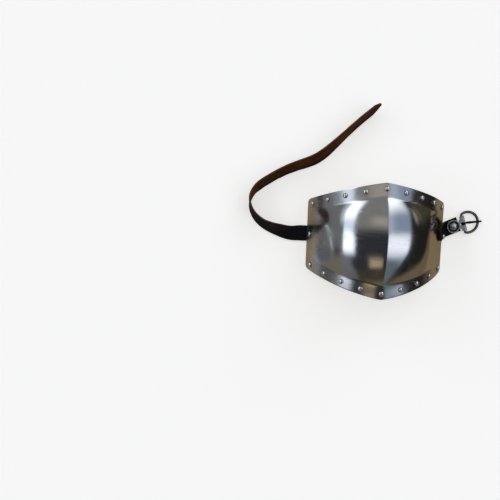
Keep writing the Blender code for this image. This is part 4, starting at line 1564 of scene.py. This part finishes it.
@dataclass(frozen=True)
class Buckle:
    """Chape, ring, tongue and rosette; X runs from the rosette towards the ring."""

    strap: BuckleStrap
    heading: float = math.radians(17.0)
    sheet: float = 1.2 * MM
    bar_at: float = 13.8 * MM
    bar_height: float = 3.1 * MM
    wire: float = 1.5 * MM
    ring_radius: float = 13.2 * MM
    bar_behind: float = 6.0 * MM
    ring_clearance: float = 0.02 * MM
    ring_flatness: float = 0.13         # widening of the wire ahead of the bar
    ring_steps: int = 192
    wire_steps: int = 24
    wire_wave: float = 20.0 * MM
    wire_wear: float = 0.02
    curl: float = math.radians(250.0)
    chape_edge: float = 0.3 * MM
    chape_end: float = 0.2 * MM
    tab_radius: float = 5.5 * MM
    waist: float = 3.9 * MM
    waist_behind: float = 5.6 * MM
    half_width: float = 9.6 * MM
    full_behind: float = 0.6 * MM
    slot_width: float = 3.6 * MM
    slot_behind: float = 4.4 * MM
    slot_past: float = 6.0 * MM
    eye_width: float = 2.2 * MM
    eye_radius: float = 2.8 * MM
    eye_ease: float = 0.2 * MM          # bevel of the eye's outer corners
    rod_start: float = 1.9 * MM
    rod_breadth: float = 1.12           # half breadth of the rod over the radii below
    tongue_length: float = 23.2 * MM
    tongue_root: float = 1.05 * MM      # radii of the rod
    tongue_middle: float = 1.45 * MM
    tongue_tip: float = 1.05 * MM
    tongue_flatness: float = 0.62       # its half height over the same radii
    root_height: float = 1.30 * MM      # height of the rod's middle over the bar's axis
    tip_height: float = 0.95 * MM
    tongue_bend: float = math.radians(-9.5)     # the tongue is bent a little to one side
    tongue_bend_from: float = 4.5 * MM
    rosette_radius: float = 8.8 * MM
    rosette_height: float = 2.0 * MM
    rosette_steps: int = 144
    rosette_profile: tuple[tuple[float, float], ...] = (
        # radius and height in mm, from the hole over the outer side and back underneath
        (1.9, 2.0), (4.1, 2.0), (4.5, 1.85), (4.8, 1.4), (5.2, 1.05), (5.8, 0.95),
        (6.4, 1.05), (6.9, 1.3), (7.3, 1.7), (7.7, 1.95), (8.05, 1.9), (8.3, 1.6),
        (8.4, 1.2), (8.4, 0.15), (8.25, 0.0), (1.9, 0.0),
    )
    scallops: int = 12
    scallop_depth: float = 0.35 * MM
    scallop_sink: float = 0.25 * MM
    scallop_sharpness: float = 1.6
    boss_radius: float = 3.6 * MM
    boss_height: float = 2.4 * MM
    boss_tail: float = 3.4 * MM

    def place(self) -> Array:
        """Matrix from the buckle's own frame to the part's frame."""
        x, y = self.strap.rosette
        return shift(*COP.centre, 0.0) @ shift(x, y, 0.0) @ turn(self.heading, "Z")

    def bar(self) -> Array:
        """Matrix of the bar's axis, about which the ring and the tongue turn."""
        return self.place() @ shift(self.bar_at, 0.0, self.bar_height)

    def chape_section(self, distance: Array) -> tuple[Array, Array]:
        """Middle of the chape's sheet: level, a smooth ramp up to the bar, and a circle round it.

        Args:
            distance: distance from the rosette along the sheet.

        Returns:
            Place and height.
        """
        seat = self.strap.level + self.strap.thickness + GAP + self.sheet / 2
        radius = self.wire + GAP + self.sheet / 2
        start = self.rosette_radius
        share = (distance - start) / (self.bar_at - start)
        rise = (self.bar_height + radius - seat) * eased(share)
        angle = np.maximum(0.0, distance - self.bar_at) / radius
        curled = distance > self.bar_at
        return (np.where(curled, self.bar_at + radius * np.sin(angle), distance),
                np.where(curled, self.bar_height + radius * np.cos(angle), seat + rise))

    def chape_half_width(self, distance: Array) -> Array:
        """Half width of the chape: a round tab, a waist, and a quarter sine out to the bar.

        Args:
            distance: distance from the rosette along the sheet.

        Returns:
            The half widths.
        """
        waist_at = self.bar_at - self.waist_behind
        behind = np.minimum(distance, 0.0)
        tab = np.sqrt(np.maximum(0.0, self.tab_radius ** 2 - behind ** 2))
        narrowing = (self.waist - self.tab_radius) * np.clip(distance / waist_at, 0.0, 1.0)
        share = np.clip((distance - waist_at) / (self.waist_behind - self.full_behind), 0.0, 1.0)
        wide = self.waist + (self.half_width - self.waist) * np.sin(share * math.pi / 2)
        return np.where(distance < waist_at, tab + narrowing, wide)

    def build_chape(self, metal: bpy.types.Material) -> bpy.types.Object:
        """Bend the hourglass sheet round the bar and slot it for the tongue.

        Args:
            metal: the buckle's finish.

        Returns:
            The piece.
        """
        radius = self.wire + GAP + self.sheet / 2
        start = -self.tab_radius * math.cos(0.15)
        end = self.bar_at + self.curl * radius
        distances = np.concatenate([np.linspace(start, self.bar_at, 70),
                                    np.linspace(self.bar_at, end, 40)[1:]])
        travelled = distances - start

        def place(where: Array, sideways: Array, lift: Array) -> Array:
            """Bend the flat sheet.

            Args:
                where: distance along the sheet from the end of its tab.
                sideways: distance across it.
                lift: distance out of its middle, positive on the outside.

            Returns:
                The points.
            """
            distance = where + start
            x, z = self.chape_section(distance)
            ahead, behind = (self.chape_section(distance + step) for step in (1e-5, -1e-5))
            direction = unit(np.stack([ahead[0] - behind[0], ahead[1] - behind[1]], axis=-1))
            points = np.stack([x - lift * direction[..., 1], -sideways,
                               z + lift * direction[..., 0]], axis=-1)
            return carried(points, self.place())

        half = self.chape_half_width(distances)
        section = BeltSection(self.sheet, self.chape_edge, self.chape_end, 22, 5)
        grid = section.grid(half, half, travelled, place)
        outer = 1.0 - grid.marks["flesh"]
        brightened = 0.30 + 0.60 * outer + 0.1 * grid.marks["edge"]
        grid.marks = {"rubbed_and_lit": brightened}
        mesh = grid.mesh("buckle_chape")
        length = self.slot_behind + self.slot_past
        middle = self.bar_at - self.slot_behind + length / 2
        outline = self.stadium(length, self.slot_width, 9)
        slot = Grid(carried(self.prism(outline, 7 * MM), self.place()
                            @ shift(middle, 0.0, self.bar_height)), around=True,
                    marks={"rubbed_and_lit": np.zeros((2, len(outline)))})
        mesh = joined(mesh, slot.mesh("slot"), "DIFFERENCE")
        return add_piece(mesh, Body.COUTER, metal, ["chape"])

    @staticmethod
    def stadium(length: float, width: float, steps: int) -> Array:
        """Outline with a round end behind and a square one ahead.

        Args:
            length: its length along X.
            width: its width along Y.
            steps: points on the round end.

        Returns:
            The points, anticlockwise from above.
        """
        angle = np.linspace(math.pi / 2, 3 * math.pi / 2, steps)
        radius = width / 2
        back = np.column_stack([-length / 2 + radius + radius * np.cos(angle),
                                radius * np.sin(angle)])
        ahead = np.array([(length / 2, -radius), (length / 2, radius)])
        return np.vstack([back, ahead])

    @staticmethod
    def prism(outline: Array, half_height: float) -> Array:
        """Stand an outline up.

        Args:
            outline: its points.
            half_height: height of the upper loop over the middle.

        Returns:
            Two loops of the outline, the upper one first.
        """
        top = np.column_stack([outline, np.full(len(outline), half_height)])
        bottom = np.column_stack([outline, np.full(len(outline), -half_height)])
        return np.stack([top, bottom])

    def build_ring(self, metal: bpy.types.Material) -> bpy.types.Object:
        """Carry a round wire along the arc and the straight bar, its corners eased.

        Args:
            metal: the buckle's finish.

        Returns:
            The piece.
        """
        half_bar = math.sqrt(self.ring_radius ** 2 - self.bar_behind ** 2)
        sweep = math.atan2(half_bar, -self.bar_behind)
        angle = np.linspace(-sweep, sweep, 400)
        arc = np.column_stack([self.bar_behind + self.ring_radius * np.cos(angle),
                               self.ring_radius * np.sin(angle)])
        straight = np.linspace(half_bar, -half_bar, 160)[1:-1]
        path = np.vstack([arc, np.column_stack([0 * straight, straight])])
        closed = np.vstack([path, path[:1]])
        travelled = lengths(np.column_stack([closed, np.zeros(len(closed))]))
        even = np.linspace(0.0, travelled[-1], self.ring_steps + 1)[:-1]
        path = np.column_stack([np.interp(even, travelled, closed[:, axis]) for axis in (0, 1)])
        softened = (np.roll(path, 1, axis=0) + 2 * path + np.roll(path, -1, axis=0)) / 4
        tangent = unit(np.roll(softened, -1, axis=0) - np.roll(softened, 1, axis=0))
        outward = np.column_stack([tangent[:, 1], -tangent[:, 0]])
        around = np.linspace(0.0, 2 * math.pi, self.wire_steps, endpoint=False)
        out, up = np.cos(around), np.sin(around)
        wave = waviness(even[:, None], around[None, :], self.wire_wave, 6, 10)
        wire = self.wire * (1 + self.wire_wear * np.clip(wave, -1.5, 0.0))
        wide = 1 + self.ring_flatness * np.clip(softened[:, :1] / (4 * MM), 0.0, 1.0)
        flat = softened[:, None, :] + (wire * wide * out)[..., None] * outward[:, None, :]
        points = np.concatenate([flat, (wire * up)[..., None]], axis=-1)
        far = self.ring_radius + self.bar_behind
        fall = math.asin((self.bar_height - self.wire - self.ring_clearance) / far)
        # painted highlight along the top and outer side of the wire, painted shade on its inner
        # side
        rubbed_and_lit = 0.12 + 0.42 * np.clip(up, 0, 1) ** 4 + 0.10 * np.clip(out, -1, 1)
        rubbed_and_lit = np.broadcast_to(rubbed_and_lit, points.shape[:2]).copy()
        grid = Grid(carried(points, self.bar() @ turn(fall, "Y")), around=True, ring=True,
                    marks={"rubbed_and_lit": rubbed_and_lit})
        return add_piece(grid.mesh("buckle_ring_wire"), Body.RING, metal,
                         ["buckle_ring"])

    def build_tongue(self, metal: bpy.types.Material) -> bpy.types.Object:
        """Weld a flattened rod, which narrows to both ends, to the eye round the bar.

        Args:
            metal: the buckle's finish.

        Returns:
            The piece.
        """
        inner, outer, half = self.wire + GAP, self.eye_radius, self.eye_width / 2
        ease = self.eye_ease
        section = np.array([(inner, half), (outer - ease, half), (outer, half - ease),
                            (outer, -half + ease), (outer - ease, -half), (inner, -half)])
        angle = np.linspace(0, 2 * math.pi, 40, endpoint=False)[None, :]
        eye = np.stack([section[:, :1] * np.cos(angle), section[:, 1:] + 0 * angle,
                        section[:, :1] * np.sin(angle)], axis=-1)
        # painted shade: the eye round the bar is kept dark as in shadow
        collar = Grid(carried(eye[:, ::-1], self.bar()), around=True, ring=True,
                      marks={"rubbed_and_lit": np.full(eye.shape[:2], 0.08)})
        share = np.linspace(0.0, 1.0, 40)[:, None]
        around = np.linspace(0, 2 * math.pi, 20, endpoint=False)[None, :]
        radius = np.interp(share, (0.0, 0.25, 1.0),
                           (self.tongue_root, self.tongue_middle, self.tongue_tip))
        radius = radius * np.sqrt(np.clip((1.02 - share) / 0.06, 0.02, 1.0))
        x = self.rod_start + (self.tongue_length - self.rod_start) * share
        z = self.root_height + (self.tip_height - self.root_height) * share
        aside = math.tan(self.tongue_bend) * np.maximum(0.0, x - self.tongue_bend_from)
        points = np.stack([x + 0 * around, aside + radius * self.rod_breadth * np.cos(around),
                           z + radius * self.tongue_flatness * np.sin(around)], axis=-1)
        # painted shade on the rod, with a painted highlight making its top a little lighter
        rod = Grid(carried(points, self.bar()), around=True,
                   marks={"rubbed_and_lit": np.broadcast_to(0.05 + 0.15 * np.sin(around),
                                                   points.shape[:2]).copy()})
        mesh = joined(collar.mesh("buckle_tongue"), rod.mesh("rod"), "UNION")
        return add_piece(mesh, Body.TONGUE, metal, ["tongue"])

    def build_rosette(self, metal: bpy.types.Material) -> bpy.types.Object:
        """Turn the washer and press its rim into petals.

        Args:
            metal: the buckle's finish.

        Returns:
            The piece.
        """
        seat = self.strap.level + self.strap.thickness + 2 * GAP + self.sheet
        table = np.array(self.rosette_profile)
        angle = np.linspace(0, 2 * math.pi, self.rosette_steps, endpoint=False)[None, :]
        wave = (1 - np.cos(self.scallops * angle)) / 2

        def petals(radius: Array, level: Array, _: Array) -> tuple[Array, Array]:
            """Draw the rim in, and sink its upper side, in every notch.

            Args:
                radius: radius of the turned washer's points.
                level: height of its points.

            Returns:
                The new radius and height.
            """
            outer = np.clip((radius - 5.9 * MM) / (2.0 * MM), 0.0, 1.0)
            notch = outer * wave ** self.scallop_sharpness
            sunk = self.scallop_sink * notch * (level > seat + 0.5 * MM)
            return radius - self.scallop_depth * notch, level - sunk

        points = turned(table * MM + (0.0, seat), self.rosette_steps, petals)
        rubbed_and_lit = np.clip((table[:, 1:] - 1.0) / 0.8, 0.0, 1.0)
        rim = np.clip((table[:, :1] - 5.8) / 1.2, 0.0, 1.0)
        rubbed_and_lit = rubbed_and_lit * (0.55 + 0.45 * rim) * (1 - 0.35 * rim * wave) + 0.10
        grid = Grid(carried(points, self.place()), around=True, ring=True,
                    marks={"rubbed_and_lit": rubbed_and_lit})
        return add_piece(grid.mesh("buckle_rosette"), Body.COUTER, metal,
                         ["rosette"])

    def build_boss(self, steel: bpy.types.Material) -> bpy.types.Object:
        """Set the large rivet through rosette, chape and strap.

        Args:
            steel: the rivet's finish.

        Returns:
            The piece.
        """
        level, thick = self.strap.level, self.strap.thickness
        seat = level + thick + 3 * GAP + self.sheet + self.rosette_height
        tail_top = level - GAP
        rivet = Rivet(self.boss_radius, self.boss_height, tail_radius=self.boss_tail,
                      tail_height=tail_top, seat=seat, grip=-tail_top, steps=56)
        mesh = rivet.mesh("rivet_of_rosette", self.place(), 91)
        return add_piece(mesh, Body.COUTER, steel, ["rosette_rivet"])


# ---- Studio ----
@dataclass(frozen=True)
class Panel:
    """A soft panel of light, by the directions in which it is seen from the cop.

    A direction's tilt is its angle from straight up towards +X, and its reach the part of it
    that runs along +Y.
    """

    name: str
    tilt: tuple[float, float]                   # degrees
    reach: tuple[float, float]
    glow: Colour
    soft: tuple[float, float, float, float]     # half fades: left, right, low end, high end
    lean: float = 0.0                           # degrees of tilt gained over a reach of 1

    def lay(self, paint: Paint, under: Signal, tilt: Signal, reach: Signal) -> Signal:
        """Lay the panel over the light behind it.

        Args:
            paint: the surroundings' nodes.
            under: colour of what is behind.
            tilt: tilt of the direction.
            reach: reach of the direction.

        Returns:
            The colour with the panel, which fades by a smooth step at its sides and ends.
        """
        across = tilt - self.lean * reach if self.lean else tilt
        left, right, low, high = self.soft
        share = (across.step(self.tilt[0] - left, self.tilt[0] + left)
                 * across.step(self.tilt[1] + right, self.tilt[1] - right)
                 * reach.step(self.reach[0] - low, self.reach[0] + low)
                 * reach.step(self.reach[1] + high, self.reach[1] - high))
        return paint.blend(share, under, self.glow)


@dataclass(frozen=True)
class Studio:
    """Pale table, soft panels of light all round, and the camera."""

    table: TableTop = TableTop("table_pale", (0.88, 0.87, 0.85), 0.62)
    table_half: float = 12.0
    cloth: TableTop = TableTop("table_warm", (0.60, 0.455, 0.27), 0.28)
    cloth_from: tuple[float, float] = (-0.140, -0.40)       # corners, from the plate's middle
    cloth_to: tuple[float, float] = (0.125, 0.22)
    cloth_level: float = 0.05 * MM
    backdrop: Colour = (0.90, 0.90, 0.89)
    room: Colour = (0.045, 0.047, 0.055)
    panels: tuple[Panel, ...] = (
        Panel("ceiling", (-60.0, 60.0), (0.02, 1.5), (0.33, 0.33, 0.315), (10, 10, 0.08, 0.1)),
        Panel("ceiling_middle", (-31.0, 14.0), (0.15, 0.36), (0.64, 0.59, 0.48),
              (8, 8, 0.12, 0.12)),
        Panel("low_middle", (-75.0, 90.0), (-1.5, -0.64), (0.075, 0.065, 0.045),
              (10, 10, 0.1, 0.08)),
        Panel("wall_left", (-104.0, -60.0), (-0.80, 0.75), (0.24, 0.25, 0.25), (3, 6, 0.1, 0.1)),
        Panel("corner_left", (-112.0, -78.0), (-1.5, -0.38), (0.27, 0.245, 0.19),
              (3, 8, 0.1, 0.08)),
        Panel("shade_left", (-92.0, -76.0), (-0.38, -0.20), (0.11, 0.11, 0.11),
              (5, 4, 0.08, 0.08)),
        Panel("card_left", (-140.0, -104.0), (-0.60, 0.50), (0.18, 0.19, 0.21),
              (2, 2, 0.1, 0.1)),
        Panel("streak_left", (-110.0, -106.5), (-0.22, 0.02), (0.95, 1.0, 1.05),
              (1.0, 1.5, 0.06, 0.06), -47.0),
        Panel("tail_left", (-49.0, -39.0), (-0.72, -0.36), (0.24, 0.26, 0.29),
              (4, 4, 0.08, 0.08), 35.0),
        Panel("haze_left", (-77.0, -56.0), (0.12, 0.80), (0.75, 0.82, 0.92),
              (4, 3, 0.15, 0.1), -12.0),
        Panel("strip_left", (-66.0, -50.5), (-0.34, 0.80), (1.30, 1.45, 1.70),
              (2.5, 1.5, 0.07, 0.1), -4.0),
        Panel("near_left", (-64.5, -51.0), (-0.28, -0.05), (2.4, 2.5, 2.65),
              (2.0, 1.5, 0.11, 0.09), -4.0),
        Panel("far_left", (-69.0, -50.5), (0.29, 0.72), (2.4, 2.5, 2.65),
              (3, 1.5, 0.16, 0.08), -9.0),
        Panel("card_warm", (-32.0, -12.0), (-0.60, -0.37), (0.66, 0.53, 0.34),
              (2.5, 2.5, 0.06, 0.06)),
        Panel("dark_right", (72.0, 300.0), (-1.5, 1.5), (0.024, 0.023, 0.021),
              (3, 3, 0.1, 0.1)),
        Panel("dusk_right", (84.0, 130.0), (0.12, 1.5), (0.085, 0.078, 0.055),
              (5, 5, 0.12, 0.1)),
        Panel("warm_right", (124.0, 400.0), (-1.5, 0.25), (0.24, 0.185, 0.115),
              (8, 8, 0.1, 0.1), 72.0),
        Panel("strip_right", (38.0, 69.5), (-0.48, 1.5), (0.42, 0.50, 0.67),
              (1.5, 2.0, 0.12, 0.1), 12.0),
        Panel("low_right", (36.0, 60.0), (-0.86, -0.36), (0.21, 0.245, 0.28),
              (2, 7, 0.08, 0.10)),
        Panel("sheen_right", (26.0, 46.0), (-0.04, 1.5), (0.66, 0.74, 0.90), (7, 6, 0.10, 0.1)),
        Panel("near_right", (37.0, 69.5), (-0.235, -0.09), (2.2, 2.3, 2.45),
              (1.2, 1.8, 0.15, 0.08), 12.0),
        Panel("far_right", (34.0, 68.0), (0.50, 1.5), (2.1, 2.2, 2.3),
              (1.2, 2.5, 0.20, 0.1), 12.0),
        Panel("streak_right", (79.5, 83.0), (0.14, 0.42), (0.66, 0.60, 0.44),
              (1.5, 1.5, 0.08, 0.08)),
        Panel("faint_streak_right", (87.0, 90.0), (0.18, 0.45), (0.26, 0.24, 0.17),
              (1.5, 1.5, 0.08, 0.08)),
        Panel("table_edge", (-200.0, 400.0), (-1.5, -0.86), (0.24, 0.195, 0.13),
              (1, 1, 0.1, 0.05)),
    )
    camera_distance: float = 0.950
    camera_tilt: float = math.radians(8.42)
    camera_turn: float = math.radians(-1.86)
    aim: tuple[float, float] = (-0.1458, -0.0721)
    lens: float = 53.1504               # mm, as the sensor is
    sensor: float = 36.0
    sight: tuple[float, float] = (0.05, 20.0)

    def build(self) -> None:
        """Put up floor, surroundings and camera."""
        self.build_floors()
        self.build_surroundings()
        self.build_camera()

    def build_floors(self) -> None:
        """Lay the pale table top, and over it the warm cloth that only the steel mirrors."""
        half = self.table_half
        table = self.lay_floor("table", (-half, -half), (half, half), 0.0, self.table)
        table.visible_glossy = False
        x, y = COP.centre
        cloth = self.lay_floor("table_mirrored", (x + self.cloth_from[0], y + self.cloth_from[1]),
                               (x + self.cloth_to[0], y + self.cloth_to[1]), self.cloth_level,
                               self.cloth)
        cloth.visible_camera = cloth.visible_diffuse = cloth.visible_shadow = False
        cloth.visible_transmission = False

    @staticmethod
    def lay_floor(name: str, start: tuple[float, float], end: tuple[float, float],
                  level: float, finish: TableTop) -> bpy.types.Object:
        """Lay a level rectangle.

        Args:
            name: the object's name.
            start: its lowest x and y.
            end: its highest x and y.
            level: its height.
            finish: its surface.

        Returns:
            The staged object.
        """
        x, y = np.meshgrid((start[0], end[0]), (start[1], end[1]), indexing="ij")
        mesh = Grid(np.stack([x, y, 0 * x + level], axis=-1)).mesh(name)
        mesh.materials.append(finish.paint())
        floor = bpy.data.objects.new(name, mesh)
        bpy.context.scene.collection.objects.link(floor)
        return floor

    def build_surroundings(self) -> None:
        """Lay the panels over a dim room, and put a plain pale backdrop behind everything."""
        world = bpy.data.worlds.new("surroundings")
        bpy.context.scene.world = world
        paint = Paint(world.name, world, "Background")
        way = paint.node("ShaderNodeTexCoord", output="Generated")
        across, reach, upward = (paint.node("ShaderNodeSeparateXYZ", {}, {"Vector": way},
                                            output=axis) for axis in "XYZ")
        tilt = across.angle_from(upward) * math.degrees(1.0)
        light = self.room
        for panel in self.panels:
            light = panel.lay(paint, light, tilt, reach)
        seen = paint.node("ShaderNodeLightPath", output="Is Camera Ray")
        paint.feed(paint.shader.inputs["Color"], paint.blend(seen, light, self.backdrop))

    def build_camera(self) -> None:
        """Aim the camera from above, leaning a little towards the far side."""
        data = bpy.data.cameras.new("camera")
        data.sensor_width = self.sensor
        data.lens = self.lens
        data.clip_start, data.clip_end = self.sight
        camera = bpy.data.objects.new("camera", data)
        bpy.context.scene.collection.objects.link(camera)
        back = self.camera_distance * np.array([0.0, math.sin(self.camera_tilt),
                                                math.cos(self.camera_tilt)])
        heading = turn(-self.camera_turn, "Z")
        matrix = shift(*self.aim, 0.0) @ heading @ shift(*back) @ turn(-self.camera_tilt, "X")
        camera.matrix_world = Matrix(matrix.tolist())
        bpy.context.scene.camera = camera


def clear_scene() -> None:
    """Remove the objects that the file starts with, but none of the frame's."""
    for item in list(bpy.data.objects):
        if item.name in ("Cube", "Light", "Camera"):
            bpy.data.objects.remove(item, do_unlink=True)


def main() -> None:
    """Build the couter from the cop outwards, then the studio round it."""
    logging.basicConfig(level=logging.INFO, format="%(name)s: %(message)s")
    clear_scene()
    leather = StrapLeather().paint()
    metal = Gunmetal().paint()
    boss_steel = RivetSteel(name="steel_boss").paint()
    long_strap = LongStrap()
    buckle_strap = BuckleStrap()
    buckle = Buckle(buckle_strap)
    CopPlate().build()
    BorderRivets().build()
    long_strap.build(leather)
    buckle_strap.build(leather)
    StrapRivets(long_strap, buckle_strap).build()
    buckle.build_chape(metal)
    buckle.build_ring(metal)
    buckle.build_tongue(metal)
    buckle.build_rosette(metal)
    buckle.build_boss(boss_steel)
    Studio().build()
    bpy.context.scene.view_settings.view_transform = "Standard"


if __name__ == "__main__":
    main()
